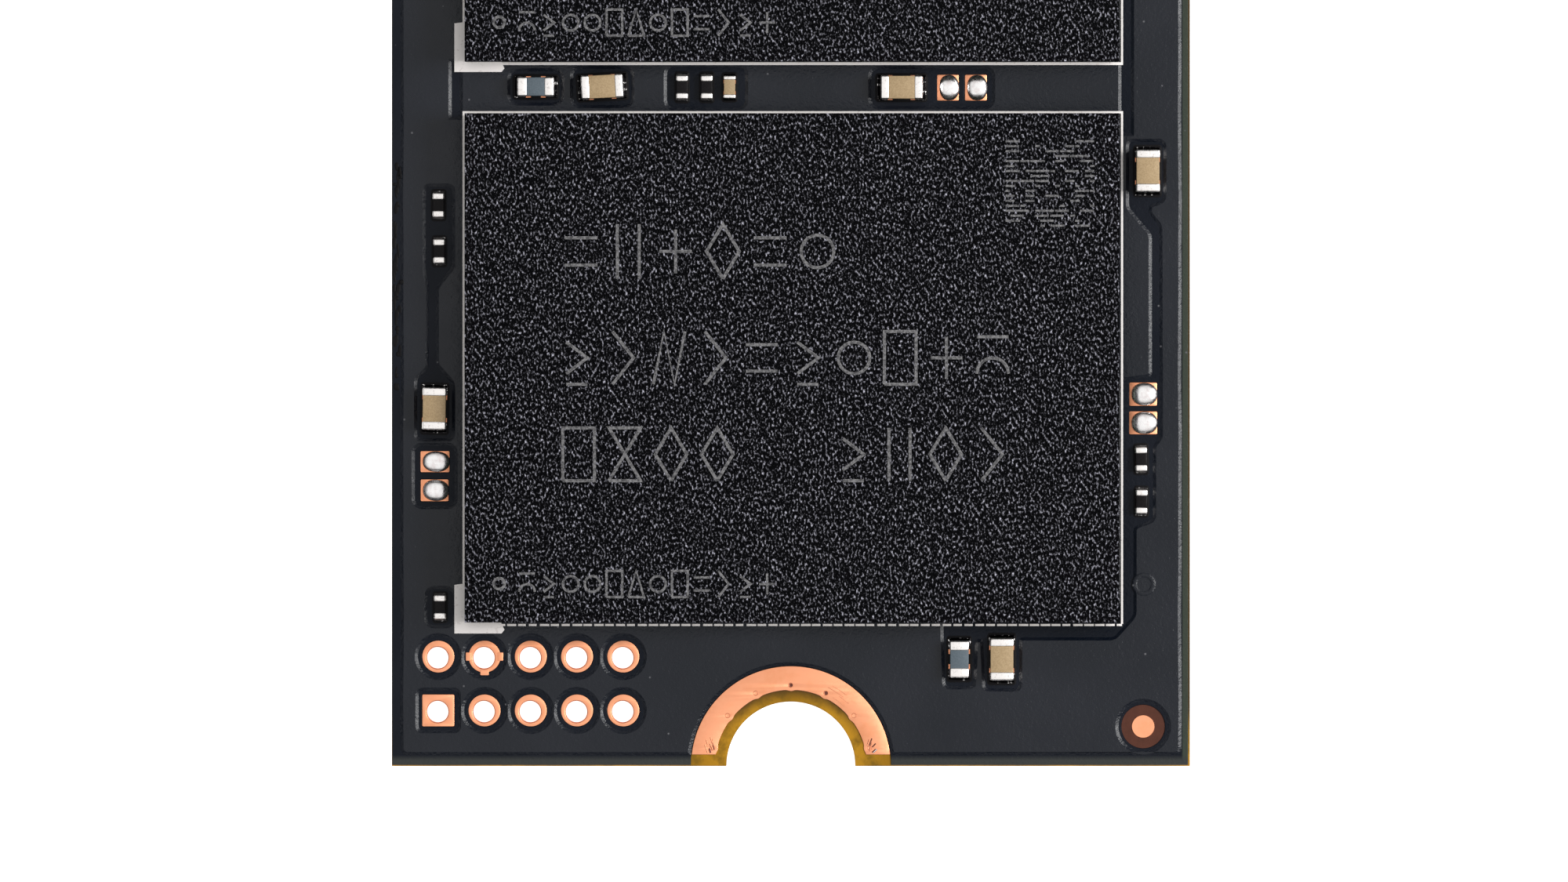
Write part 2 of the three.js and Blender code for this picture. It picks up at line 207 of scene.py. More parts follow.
def plate(outlines, low, high, bevel=0.0, flatten=1.0, steps=1):
    """A flat sheet between two heights. Outlines that lie inside another cut holes in it.

    Flatten makes the bevel's height that share of its width.
    """
    curve = bpy.data.curves.new("plate", "CURVE")
    curve.dimensions = "2D"
    curve.fill_mode = "BOTH"
    curve.extrude = max(0.0, (high - low) / (2 * flatten) - bevel)
    curve.bevel_depth = bevel
    curve.bevel_resolution = steps
    curve.offset = -bevel
    for outline in outlines:
        spline = curve.splines.new("POLY")
        spline.points.add(len(outline) - 1)
        for point, (x, y) in zip(spline.points, outline):
            point.co = (x, y, 0, 1)
        spline.use_cyclic_u = True
    holder = bpy.data.objects.new("plate", curve)
    bpy.context.scene.collection.objects.link(holder)
    mesh = bpy.data.meshes.new_from_object(holder.evaluated_get(bpy.context.evaluated_depsgraph_get()))
    work = bmesh.new()
    work.from_mesh(mesh)
    bmesh.ops.remove_doubles(work, verts=work.verts, dist=1e-5)
    bmesh.ops.recalc_face_normals(work, faces=work.faces)
    work.verts.index_update()
    verts = [(v.co.x, v.co.y, v.co.z * flatten + (low + high) / 2) for v in work.verts]
    faces = [[v.index for v in f.verts] for f in work.faces]
    work.free()
    bpy.data.objects.remove(holder)
    bpy.data.curves.remove(curve)
    bpy.data.meshes.remove(mesh)
    return verts, faces


def ridge(points, width, height, z, closed=False, crown=(0.0, 0.75, 1.0, 0.75, 0.0)):
    """A low ridge along a line of (x, y) points. Crown gives its height across, from side to side."""
    rooted = z - 0.004
    rings = []
    for i, point in enumerate(points):
        here = Vector(point)
        steps = []
        if i > 0 or closed:
            steps.append((here - Vector(points[i - 1])).normalized())
        if i < len(points) - 1 or closed:
            steps.append((Vector(points[(i + 1) % len(points)]) - here).normalized())
        along = sum(steps, Vector((0, 0))).normalized()
        side = Vector((-along.y, along.x)) * width / max(0.5, abs(along.dot(steps[0])))
        top = []
        for lane, rise in enumerate(crown):
            x, y = here + side * (lane / (len(crown) - 1) - 0.5)
            top.append((x, y, z + rise * height))
        rings.append(top + [(x, y, rooted) for x, y, _ in reversed(top)])
    return tube(rings, closed)


def placed(x, y, z=0.0, angle=0.0):
    return Matrix.Translation((x, y, z)) @ Matrix.Rotation(math.radians(angle), 4, "Z")


class Sketch:
    """Solids in millimetres, each with a material number, that become one piece."""

    def __init__(self):
        self.verts = []
        self.faces = []
        self.paint = []

    def add(self, solid, place=None, paint=0):
        place = place or Matrix.Identity(4)
        verts, faces = solid
        base = len(self.verts)
        self.verts += [place @ Vector(v) for v in verts]
        self.faces += [[base + i for i in face] for face in faces]
        self.paint += [paint] * len(faces)

    def finish(self, name, materials, replaces=(), smooth=35):
        """Makes the piece, in metres. Edges flatter than smooth degrees are shaded smooth."""
        mesh = bpy.data.meshes.new(name)
        mesh.from_pydata([v * MM for v in self.verts], [], self.faces)
        for material in materials:
            mesh.materials.append(material)
        mesh.polygons.foreach_set("material_index", self.paint)
        mesh.validate()
        piece = bpy.data.objects.new(name, mesh)
        bpy.context.scene.collection.objects.link(piece)
        if smooth:
            mesh.shade_smooth()
            mesh.set_sharp_from_angle(angle=math.radians(smooth))
            weigh = piece.modifiers.new("flat_faces_first", "WEIGHTED_NORMAL")
            weigh.keep_sharp = True
            weigh.weight = 100
        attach(piece, "root")
        if replaces:
            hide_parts(*replaces)
        return piece


# ---- Materials ----


class Shader:
    """A principled material with short calls for the procedural nodes that feed it."""

    def __init__(self, name, color, roughness, metallic=0.0, specular=0.5):
        """The color given here shows until paint puts another in its place."""
        self.material = bpy.data.materials.new(name)
        self.material.use_nodes = True
        self.tree = self.material.node_tree
        self.surface = self.tree.nodes["Principled BSDF"].inputs
        self.surface["Base Color"].default_value = (*color, 1)
        self.surface["Roughness"].default_value = roughness
        self.surface["Metallic"].default_value = metallic
        self.surface["Specular IOR Level"].default_value = specular
        self.place = self.tree.nodes.new("ShaderNodeTexCoord").outputs["Object"]

    def feed(self, socket, value):
        """Links another socket to a socket, or gives it a constant."""
        if isinstance(value, bpy.types.NodeSocket):
            self.tree.links.new(value, socket)
        else:
            socket.default_value = value

    def node(self, kind, output, **inputs):
        """One output of a new node, whose inputs' names have underscores for spaces."""
        made = self.tree.nodes.new(kind)
        for name, value in inputs.items():
            self.feed(made.inputs[name.replace("_", " ")], value)
        return made.outputs[output]

    def calculate(self, kind, operation, first, second):
        """A mathematical node's result for two values."""
        made = self.tree.nodes.new(kind)
        made.operation = operation
        self.feed(made.inputs[0], first)
        self.feed(made.inputs[1], second)
        return made.outputs["Value"]

    def product(self, first, second):
        return self.calculate("ShaderNodeMath", "MULTIPLY", first, second)

    def distance(self, point):
        """How far the surface is from a point, both in metres."""
        return self.calculate("ShaderNodeVectorMath", "DISTANCE", self.place, point)

    def axis(self, name):
        """The surface's place along one axis, in metres."""
        return self.node("ShaderNodeSeparateXYZ", name, Vector=self.place)

    def stretched(self, scale, angle=0.0):
        """The surface's place, turned by an angle in degrees and then scaled along each axis."""
        turn = (0, 0, math.radians(angle))
        return self.node("ShaderNodeMapping", "Vector", Vector=self.place, Scale=scale, Rotation=turn)

    def noise(self, size, detail=2.0, roughness=0.5, place=None):
        """Noise whose features are about size millimetres across."""
        return self.node(
            "ShaderNodeTexNoise", "Fac", Vector=place or self.place,
            Scale=1 / (size * MM), Detail=detail, Roughness=roughness,
        )

    def cells(self, size):
        return self.node("ShaderNodeTexVoronoi", "Distance", Vector=self.place, Scale=1 / (size * MM))

    def remap(self, value, low, high, to_low=0.0, to_high=1.0):
        return self.node(
            "ShaderNodeMapRange", "Result", Value=value,
            From_Min=low, From_Max=high, To_Min=to_low, To_Max=to_high,
        )

    def blend(self, factor, first, second):
        """A colour between two colours or sockets."""
        made = self.tree.nodes.new("ShaderNodeMix")
        made.data_type = "RGBA"
        self.feed(made.inputs["Factor"], factor)
        for side, color in (("A", first), ("B", second)):
            self.feed(made.inputs[side], color if isinstance(color, bpy.types.NodeSocket) else (*color, 1))
        return made.outputs["Result"]

    def paint(self, factor, first, second):
        """Colours the surface between two colours or sockets."""
        self.feed(self.surface["Base Color"], self.blend(factor, first, second))

    def gloss(self, factor, low, high, from_low=0.3, from_high=0.7):
        """Varies the surface's roughness between low and high."""
        self.feed(self.surface["Roughness"], self.remap(factor, from_low, from_high, low, high))

    def bump(self, height, depth, strength=1.0):
        """Relief of about depth millimetres, on top of any relief added before. Gives the material."""
        relief = dict(Height=height, Strength=strength, Distance=depth * MM)
        normal = self.surface["Normal"]
        if normal.is_linked:
            relief["Normal"] = normal.links[0].from_socket
        self.feed(normal, self.node("ShaderNodeBump", "Normal", **relief))
        return self.material


def solder_mask_material(name, specular):
    """Near-black ink with an uneven satin gloss and specks of dust, paler along the board's rim, where it
    lies on bare laminate and carries a painted glow of the light table shining up through.
    """
    shader = Shader(name, (0.004, 0.006, 0.012), 0.3, specular=specular)
    patches = shader.remap(shader.noise(3.0, 3), 0.35, 0.65)
    ink = shader.blend(patches, (0.0025, 0.0045, 0.0095), (0.0065, 0.0085, 0.0145))
    # Painted light: the rim strips are paler and greener. This is partly the mask's tone over bare laminate
    # and partly a painted glow of the table's light through the board.
    rim = HALF_WIDTH - PLANE_SIDE
    right = shader.remap(shader.axis("X"), rim * MM, (rim + 0.05) * MM)
    below = shader.remap(shader.axis("Y"), from_seat(PLANE_END) * MM, from_seat(PLANE_END - 0.15) * MM)
    ink = shader.blend(right, ink, (0.041, 0.051, 0.038))
    ink = shader.blend(below, ink, (0.04, 0.043, 0.041))
    dust = shader.remap(shader.cells(0.75), 0.05, 0.02)
    shader.paint(dust, ink, (0.12, 0.12, 0.13))
    shader.gloss(shader.noise(0.6, 3), 0.24, 0.34)
    shader.bump(shader.noise(0.9, 2), 0.014, 0.5)
    return shader.bump(shader.noise(0.1, 3, 0.65), 0.018, 1.0)


def mould_material():
    """Matt black moulding compound with pale filler grains painted bright wherever the noise peaks, not where
    they face the light. The paint also stands in for their glints.
    """
    shader = Shader("mould_compound", (0.012, 0.012, 0.016), 0.34, specular=0.035)
    grains = shader.noise(0.062, 1.5, 0.6, shader.stretched((1.0, 0.62, 1.0), 40))
    # Painted highlight: bright grains in the colour stand in for glints as well as for pale filler.
    filler_and_glint_grains = shader.remap(grains, 0.505, 0.76)
    filler_and_glint_grains = shader.product(filler_and_glint_grains, filler_and_glint_grains)
    shader.paint(filler_and_glint_grains, (0.0004, 0.0004, 0.001), (0.56, 0.555, 0.64))
    shader.gloss(shader.cells(0.07), 0.3, 0.55, 0.1, 0.8)
    return shader.bump(grains, 0.04, 1.0)


def laser_mark_material():
    """The finer, paler grain that a laser leaves in moulding compound."""
    shader = Shader("laser_mark", (0.12, 0.118, 0.12), 0.6, specular=0.3)
    grains = shader.noise(0.07, 2.0, 0.6)
    shader.paint(shader.remap(grains, 0.35, 0.65), (0.05, 0.049, 0.052), (0.22, 0.216, 0.22))
    return shader.bump(grains, 0.02, 0.8)


def copper_material():
    """Bare etched copper, brushed to a fine satin and slightly stained."""
    shader = Shader("bare_copper", (0.97, 0.44, 0.25), 0.42, metallic=1.0)
    stain = shader.remap(shader.noise(0.55, 4, 0.6), 0.5, 0.8)
    shader.paint(stain, (1.0, 0.43, 0.235), (0.93, 0.37, 0.18))
    shader.gloss(shader.noise(0.12, 2), 0.34, 0.48)
    return shader.bump(shader.noise(0.05, 2, 0.6), 0.0012, 0.6)


def dull_copper_material():
    """Copper in a drilled wall, darker and rougher than a pad."""
    shader = Shader("plated_wall", (0.7, 0.26, 0.14), 0.5, metallic=1.0)
    shader.paint(shader.noise(0.2, 3), (0.55, 0.19, 0.1), (0.85, 0.36, 0.2))
    return shader.bump(shader.noise(0.06, 2), 0.004, 0.7)


def solder_material():
    """Reflowed tin solder: bright and grainy, with patches of painted pink reflection of the copper around
    it.
    """
    shader = Shader("solder", (0.93, 0.9, 0.89), 0.2, metallic=1.0)
    # Painted reflection: pink patches of colour stand in for the copper that the solder reflects.
    painted_copper_reflection = shader.remap(shader.noise(0.16, 3, 0.6), 0.45, 0.75)
    shader.paint(painted_copper_reflection, (0.97, 0.95, 0.94), (0.78, 0.7, 0.69))
    shader.gloss(shader.noise(0.1, 3), 0.16, 0.34)
    return shader.bump(shader.noise(0.09, 3, 0.6), 0.004, 0.6)


def tin_material():
    """The plated end cap of a chip component."""
    shader = Shader("tin_end", (0.93, 0.9, 0.87), 0.32, metallic=1.0)
    pits = shader.remap(shader.noise(0.07, 3, 0.65), 0.55, 0.75)
    shader.paint(pits, (0.97, 0.93, 0.9), (0.5, 0.45, 0.43))
    shader.gloss(shader.noise(0.06, 2), 0.24, 0.42)
    return shader.bump(shader.noise(0.05, 3, 0.6), 0.004, 0.7)


def fillet_material():
    """Solder climbing a chip's end: steep, painted near-black for the dark surroundings it reflects, with a
    few painted glints.
    """
    shader = Shader("fillet_solder", (0.05, 0.05, 0.05), 0.16, metallic=1.0)
    painted_glints = shader.remap(shader.noise(0.07, 2, 0.6), 0.6, 0.68)
    # Painted reflection and highlight: near-black stands in for dark surroundings and bright spots for
    # glints.
    shader.paint(painted_glints, (0.012, 0.011, 0.012), (0.85, 0.82, 0.8))
    return shader.bump(shader.noise(0.09, 2), 0.01, 0.8)


def shade_and_dust_material():
    """Near-black sheet: painted shade round a chip's pads, and the black of router dust smeared on the
    board's edge.
    """
    shader = Shader("pad_gap_shade_and_router_dust", (0.004, 0.004, 0.005), 0.5, specular=0.12)
    shader.paint(shader.noise(0.15, 3), (0.002, 0.002, 0.003), (0.008, 0.007, 0.008))
    return shader.bump(shader.noise(0.08, 3), 0.006, 0.8)


def stain_and_hole_shade_material():
    """Dark burnt copper, for smears on the seat's feet and as painted shade in the open stitching vias."""
    shader = Shader("burnt_copper_and_hole_shade", (0.16, 0.05, 0.03), 0.5, metallic=0.8)
    shader.paint(shader.noise(0.06, 3), (0.06, 0.02, 0.015), (0.28, 0.09, 0.06))
    return shader.bump(shader.noise(0.05, 3), 0.008, 0.8)


def ceramic_material(name, dark, light, gloss=0.5, specular=0.35):
    """Fired ceramic with fine speckle."""
    shader = Shader(name, light, gloss, specular=specular)
    speckle = shader.remap(shader.noise(0.035, 2, 0.7), 0.3, 0.7)
    shader.paint(speckle, dark, light)
    return shader.bump(shader.noise(0.04, 2), 0.003, 0.6)


def silk_material():
    """White printed ink, thin enough for the black below to show through in patches."""
    shader = Shader("silkscreen", (0.98, 0.93, 0.9), 0.6, specular=0.3)
    thin = shader.remap(shader.noise(0.12, 3, 0.7), 0.58, 0.75)
    shader.paint(thin, (0.98, 0.93, 0.9), (0.66, 0.59, 0.57))
    return shader.bump(shader.noise(0.08, 2), 0.004, 0.6)


def laminate_material():
    """Glass cloth in amber resin: olive on its face and browner by the seat's copper. Its sawn sides show
    their plies in a dark brown that also paints the shade they stand in.
    """
    shader = Shader("glass_laminate", (0.3, 0.17, 0.02), 0.45, specular=0.12)
    threads = 0.1 / MM
    weave = shader.node(
        "ShaderNodeTexWave", "Fac", Vector=shader.place, Scale=threads, Distortion=1.5, Detail=2.0,
    )
    fibres = shader.blend(weave, (0.31, 0.15, 0.006), (0.49, 0.24, 0.012))
    burnt = shader.remap(shader.noise(0.35, 3, 0.6), 0.45, 0.75)
    face = shader.blend(burnt, fibres, (0.19, 0.1, 0.006))
    seat = (0, SEAT_END * MM, COPPER_FLOOR * MM)
    from_copper = shader.remap(shader.distance(seat), (SEAT_INNER_R - 0.26) * MM, (SEAT_INNER_R + 0.02) * MM)
    from_foot = shader.remap(shader.axis("Y"), from_seat(0.4) * MM, from_seat(1.6) * MM)
    face = shader.blend(shader.product(from_copper, from_foot), face, (0.07, 0.035, 0.008))
    plies = shader.remap(shader.noise(0.9, 3, 0.6, shader.stretched((1, 1, 16))), 0.35, 0.65)
    # Painted shade: the sawn sides are coloured dark brown over their real plies, for the shade of the
    # board's edge.
    side = shader.blend(plies, (0.07, 0.036, 0.012), (0.17, 0.092, 0.028))
    depth = shader.remap(shader.axis("Z"), (COPPER_FLOOR - 0.002) * MM, (COPPER_FLOOR - 0.006) * MM)
    shader.paint(depth, face, side)
    return shader.bump(shader.noise(0.06, 3), 0.01, 0.7)


def bare_floor_material():
    """Dark brown laminate at the bottom of a mask opening."""
    shader = Shader("opening_floor", (0.09, 0.035, 0.022), 0.4, specular=0.15)
    shader.paint(shader.noise(0.2, 3), (0.066, 0.0224, 0.0132), (0.11, 0.0364, 0.0218))
    return shader.bump(shader.noise(0.08, 3), 0.005, 0.6)


def gold_material():
    """Hard gold on the contacts, with fine lengthwise wipe marks."""
    shader = Shader("contact_gold", (0.9, 0.6, 0.22), 0.25, metallic=1.0)
    lines = shader.noise(0.03, 2.0, 0.5, shader.stretched((1.0, 0.06, 1.0)))
    shader.paint(shader.noise(0.5, 3), (0.86, 0.55, 0.18), (0.95, 0.66, 0.28))
    shader.gloss(lines, 0.18, 0.36)
    return shader.bump(lines, 0.002, 0.6)


def substrate_material():
    """The dark green edge of a package's own small circuit board."""
    shader = Shader("package_substrate", (0.02, 0.05, 0.02), 0.45)
    shader.paint(shader.noise(0.15, 3), (0.014, 0.035, 0.014), (0.03, 0.065, 0.026))
    return shader.bump(shader.noise(0.05, 2), 0.004, 0.6)


def silicon_material():
    """Polished dies inside the packages."""
    shader = Shader("silicon", (0.1, 0.12, 0.16), 0.15, metallic=0.6)
    shader.paint(shader.noise(1.2, 2), (0.08, 0.1, 0.14), (0.14, 0.15, 0.2))
    return shader.bump(shader.noise(0.1, 1), 0.001, 0.4)


def ferrite_material():
    """Pressed iron powder: dark grey, dry and granular."""
    shader = Shader("ferrite", (0.05, 0.052, 0.056), 0.6)
    shader.paint(shader.cells(0.07), (0.03, 0.031, 0.034), (0.1, 0.1, 0.105))
    shader.gloss(shader.noise(0.1, 2), 0.45, 0.7)
    return shader.bump(shader.noise(0.07, 3, 0.6), 0.02, 0.9)


def can_material():
    """The nickel lid of the crystal."""
    shader = Shader("crystal_lid", (0.72, 0.69, 0.63), 0.28, metallic=1.0)
    shader.paint(shader.noise(0.4, 3), (0.68, 0.65, 0.6), (0.8, 0.77, 0.7))
    shader.gloss(shader.noise(0.15, 2), 0.2, 0.38)
    return shader.bump(shader.noise(0.07, 2), 0.003, 0.6)


def floor_material():
    """A white light table: pale, matt and lit from within."""
    shader = Shader("light_table", (0.9, 0.9, 0.9), 0.7)
    shader.paint(shader.noise(60, 2), (0.9, 0.9, 0.9), (0.94, 0.94, 0.94))
    shader.surface["Emission Color"].default_value = (1, 1, 1, 1)
    shader.surface["Emission Strength"].default_value = 1.0
    return shader.material


MASK = solder_mask_material("solder_mask", 0.33)
LOW_MASK = solder_mask_material("solder_mask_between_planes", 0.13)
MOULD = mould_material()
LASER = laser_mark_material()
COPPER = copper_material()
WALL = dull_copper_material()
SOLDER = solder_material()
TIN = tin_material()
FILLET = fillet_material()
SHADE_AND_DUST = shade_and_dust_material()
STAIN_AND_HOLE_SHADE = stain_and_hole_shade_material()
BEIGE = ceramic_material("beige_ceramic", (0.355, 0.245, 0.125), (0.5, 0.362, 0.206))
GREY = ceramic_material("grey_ceramic", (0.083, 0.112, 0.132), (0.121, 0.151, 0.177))
BLACK = ceramic_material("resistor_film", (0.003, 0.0025, 0.003), (0.012, 0.01, 0.011), 0.3, 0.1)
WHITE_CERAMIC = ceramic_material("white_ceramic", (0.5, 0.47, 0.42), (0.66, 0.63, 0.58), 0.45)
INK = silk_material()
LAMINATE = laminate_material()
OPENING_FLOOR = bare_floor_material()
GOLD = gold_material()
SUBSTRATE = substrate_material()
SILICON = silicon_material()
FERRITE = ferrite_material()
LID = can_material()
FLOOR = floor_material()


# ---- Camera, light and table ----

VIEW_X = -0.19
VIEW_Y = from_seat(8.96)
VIEW_WIDTH = 43.22
CAMERA_HEIGHT = 450.0
SENSOR = 36.0
TABLE_GAP = 0.02  # keeps the table from sharing a plane with the lower mask
TABLE_REACH = 2500  # from the frame's origin to the table's sides
SKY_SPAN = (0.42, 0.93)  # the sky brightens between these heights, where 0 is the horizon and 1 overhead


def add_camera():
    data = bpy.data.cameras.new("camera")
    data.sensor_width = SENSOR
    data.lens = SENSOR * CAMERA_HEIGHT / VIEW_WIDTH
    data.clip_start = 0.001
    data.clip_end = 20
    camera = bpy.data.objects.new("camera", data)
    camera.location = Vector((VIEW_X, VIEW_Y, MASK_TOP + CAMERA_HEIGHT)) * MM
    bpy.context.scene.collection.objects.link(camera)
    bpy.context.scene.camera = camera


def add_softbox(name, offset, size, radiance):
    """A square light at an offset from the view's middle, facing it. Radiance 1 shows as white."""
    data = bpy.data.lights.new(name, "AREA")
    data.shape = "SQUARE"
    data.size = size * MM
    data.energy = radiance * math.pi * data.size**2
    light = bpy.data.objects.new(name, data)
    target = Vector((VIEW_X, VIEW_Y, 0))
    light.location = (target + Vector(offset)) * MM
    light.rotation_euler = Vector(offset).to_track_quat("Z", "Y").to_euler()
    bpy.context.scene.collection.objects.link(light)


def add_sky(overhead, horizon):
    """A plain white studio ceiling that darkens towards the walls."""
    world = bpy.data.worlds.new("studio")
    bpy.context.scene.world = world
    world.use_nodes = True
    nodes = world.node_tree.nodes
    links = world.node_tree.links
    nodes["Background"].inputs["Color"].default_value = (1, 1, 1, 1)
    place = nodes.new("ShaderNodeTexCoord")
    split = nodes.new("ShaderNodeSeparateXYZ")
    ramp = nodes.new("ShaderNodeMapRange")
    ramp.interpolation_type = "SMOOTHSTEP"
    ends = {"From Min": SKY_SPAN[0], "From Max": SKY_SPAN[1], "To Min": horizon, "To Max": overhead}
    for name, value in ends.items():
        ramp.inputs[name].default_value = value
    links.new(place.outputs["Generated"], split.inputs["Vector"])
    links.new(split.outputs["Z"], ramp.inputs["Value"])
    links.new(ramp.outputs["Result"], nodes["Background"].inputs["Strength"])


def add_table():
    mesh = bpy.data.meshes.new("table")
    outline = rectangle(-TABLE_REACH, -TABLE_REACH, TABLE_REACH, TABLE_REACH)
    mesh.from_pydata([Vector((x, y, -TABLE_GAP)) * MM for x, y in outline], [], [[0, 1, 2, 3]])
    mesh.materials.append(FLOOR)
    table = bpy.data.objects.new("table", mesh)
    bpy.context.scene.collection.objects.link(table)


add_camera()
add_sky(overhead=0.98, horizon=0.04)
add_softbox("key", (170, 20, 150), 90, 17.0)
add_table()
bpy.context.scene.view_settings.view_transform = "Standard"


# ---- What sits on the board ----

# Length, width and height of each chip component, its end caps' length, its pads' extra length and width
CHIP_SIZES = {
    "large": (1.16, 0.66, 0.6, 0.26, 0.09, 0.015),
    "medium": (1.02, 0.54, 0.5, 0.3, 0.08, 0.03),
    "small": (0.63, 0.34, 0.3, 0.14, 0.05, 0.0),
    "film": (0.68, 0.34, 0.23, 0.21, 0.05, -0.01),
    "bulk": (2.0, 1.25, 1.0, 0.4, 0.3, 0.1),
    "fuse": (1.6, 0.8, 0.45, 0.3, 0.25, 0.08),
}

# CAD node: size, body and angle
CAD_CHIPS = {
    "capacitor_1": ("large", BEIGE, 90),
    "capacitor_2": ("medium", GREY, 90),
    "capacitor_3": ("large", BEIGE, 89),
    "capacitor_4": ("large", BEIGE, 90),
    "capacitor_5": ("medium", GREY, 0),
    "capacitor_6": ("large", BEIGE, 3),
    "capacitor_7": ("small", BEIGE, 90),
    "capacitor_8": ("large", BEIGE, 0),
    "resistor_1": ("film", BLACK, 90),
    "resistor_2": ("film", BLACK, 90),
    "resistor_3": ("film", BLACK, 90),
    "resistor_4": ("film", BLACK, 89),
    "resistor_5": ("film", BLACK, 91),
    "resistor_6": ("film", BLACK, 90),
    "resistor_7": ("film", BLACK, 90),
    "bulk_capacitor_1": ("bulk", BEIGE, 90),
    "bulk_capacitor_2": ("bulk", BEIGE, 90),
    "input_fuse": ("fuse", WHITE_CERAMIC, 90),
}

# Smaller chips with no CAD solid: size, body, angle, first place, step and count
CHIP_ROWS = [
    ("large", BEIGE, 0, (-7.4, 34.35), (2.1, 0), 3),
    ("film", BLACK, 90, (-0.6, 34.35), (0.7, 0), 4),
    ("medium", GREY, 0, (3.3, 34.35), (1.9, 0), 2),
    ("film", BLACK, 90, (8.0, 34.6), (0.75, 0), 3),
    ("medium", BEIGE, 90, (7.2, 36.6), (0.95, 0), 4),
    ("small", BEIGE, 90, (7.2, 38.5), (0.72, 0), 5),
    ("large", BEIGE, 90, (7.5, 40.6), (1.25, 0), 3),
    ("film", BLACK, 0, (7.4, 42.6), (0, 0.7), 3),
    ("film", BLACK, 0, (8.7, 42.6), (0, 0.7), 3),
    ("medium", BEIGE, 90, (9.95, 43.2), (0, 1.7), 2),
    ("small", BEIGE, 0, (-8.2, 45.9), (1.05, 0), 7),
    ("film", BLACK, 0, (-0.6, 45.9), (1.05, 0), 5),
    ("medium", BEIGE, 90, (6.5, 47.4), (0, 1.75), 4),
    ("film", BLACK, 90, (7.4, 48.4), (0.7, 0), 4),
    ("small", BEIGE, 0, (7.3, 54.0), (1.0, 0), 3),
    ("film", BLACK, 0, (6.6, 55.6), (0, 0.75), 5),
    ("medium", BEIGE, 90, (10.0, 56.4), (0, 1.75), 3),
    ("medium", BEIGE, 90, (-10.1, 47.6), (0, 1.9), 7),
    ("large", BEIGE, 0, (-7.6, 62.5), (1.9, 0), 5),
    ("film", BLACK, 90, (3.4, 62.3), (0.7, 0), 4),
    ("large", BEIGE, 90, (7.4, 63.6), (1.3, 0), 3),
    ("small", BEIGE, 90, (-6.55, 65.6), (0, 1.0), 4),
    ("film", BLACK, 90, (7.1, 66.2), (0, 1.05), 3),
    ("large", BEIGE, 0, (-8.6, 70.8), (2.0, 0), 3),
    ("medium", BEIGE, 90, (-2.4, 71.1), (1.0, 0), 8),
    ("small", BEIGE, 90, (-8.4, 73.6), (0.7, 0), 4),
    ("small", BEIGE, 90, (-4.6, 73.6), (0.7, 0), 8),
    ("film", BLACK, 90, (2.2, 73.6), (0.7, 0), 4),
    ("medium", GREY, 90, (5.6, 73.4), (0.95, 0), 2),
    ("small", BEIGE, 90, (8.4, 73.5), (0.7, 0), 3),
]

# Pads left without a part: place, width, length and how far the solder has run to one side
BARE_PADS = {
    "bare_pad_1": (4.33, 18.7, 0.59, 0.72, 0.0),
    "bare_pad_2": (5.1, 18.7, 0.6, 0.72, 0.05),
    "bare_pad_3": (-9.81, 8.39, 0.8, 0.58, 0.02),
    "bare_pad_4": (-9.82, 7.6, 0.77, 0.6, 0.0),
    "bare_pad_5": (9.71, 10.25, 0.76, 0.64, 0.08),
    "bare_pad_6": (9.71, 9.46, 0.77, 0.63, 0.05),
}

FIDUCIALS = [(9.71, 1.09), (-9.6, 62.2), (-9.7, 35.2)]
FIDUCIAL_DOT_R = 0.315
FIDUCIAL_OPEN_R = 0.6

HEADER_SQUARE = "header_barrel_1"
HEADER_SPOKED = "header_barrel_7"
HEADER_NODES = [f"header_barrel_{i}" for i in range(1, 11)]
HEADER_HOLE_R = 0.298
DRILL_SHIFT = (-0.02, -0.035)  # from a pad's middle to its hole's
HEADER_PAD_R = 0.44
ANTIPAD_R = 0.56

PACKAGES = ["flash_1", "flash_2", "cache_memory", "controller"]


# ---- Board faces ----


def mask_outline():
    """The mask's edge: the card's own outline, drawn in by the bare strip, up to the plug."""
    side = HALF_WIDTH - EDGE_STRIP
    low = SEAT_END + EDGE_STRIP
    shoulder = PLUG_END - PLUG_LENGTH - EDGE_STRIP
    shoulder_r = SHOULDER_R + EDGE_STRIP
    corner_x = PLUG_HALF + SHOULDER_R
    seat_r = SEAT_R + 0.01
    start = math.degrees(math.asin(EDGE_STRIP / seat_r))
    key_y = PLUG_END - KEY_DEPTH + KEY_R
    key_r = KEY_R + EDGE_STRIP
    dip = math.degrees(math.asin(min(0.0, max(-1.0, (MASK_END - key_y) / key_r))))
    outline = [(-side, low)]
    outline += arc(0, SEAT_END, seat_r, 180 - start, start, 40)
    outline += [(side, low), (side, shoulder)]
    outline += arc(corner_x, shoulder + shoulder_r, shoulder_r, -90, -180, 6)
    outline += [(PLUG_HALF - EDGE_STRIP, MASK_END)]
    outline += arc(KEY_X, key_y, key_r, dip, -180 - dip, 12)
    outline += [(EDGE_STRIP - PLUG_HALF, MASK_END)]
    outline += arc(-corner_x, shoulder + shoulder_r, shoulder_r, 0, -90, 6)
    outline += [(-side, shoulder)]
    return [(x + (MASK_SHIFT if abs(x) > SEAT_R + 1 else 0), y) for x, y in outline]


def header_openings(radius, half_side, corner, steps=5):
    """A round outline at each header hole, and a square one at the first."""
    outlines = []
    for node in HEADER_NODES:
        x, y, _ = box_mm(node).centre
        if node == HEADER_SQUARE:
            outlines.append(rounded_rectangle(x, y, 2 * half_side, 2 * half_side, corner, steps))
        else:
            outlines.append(circle(x, y, radius))
    return outlines


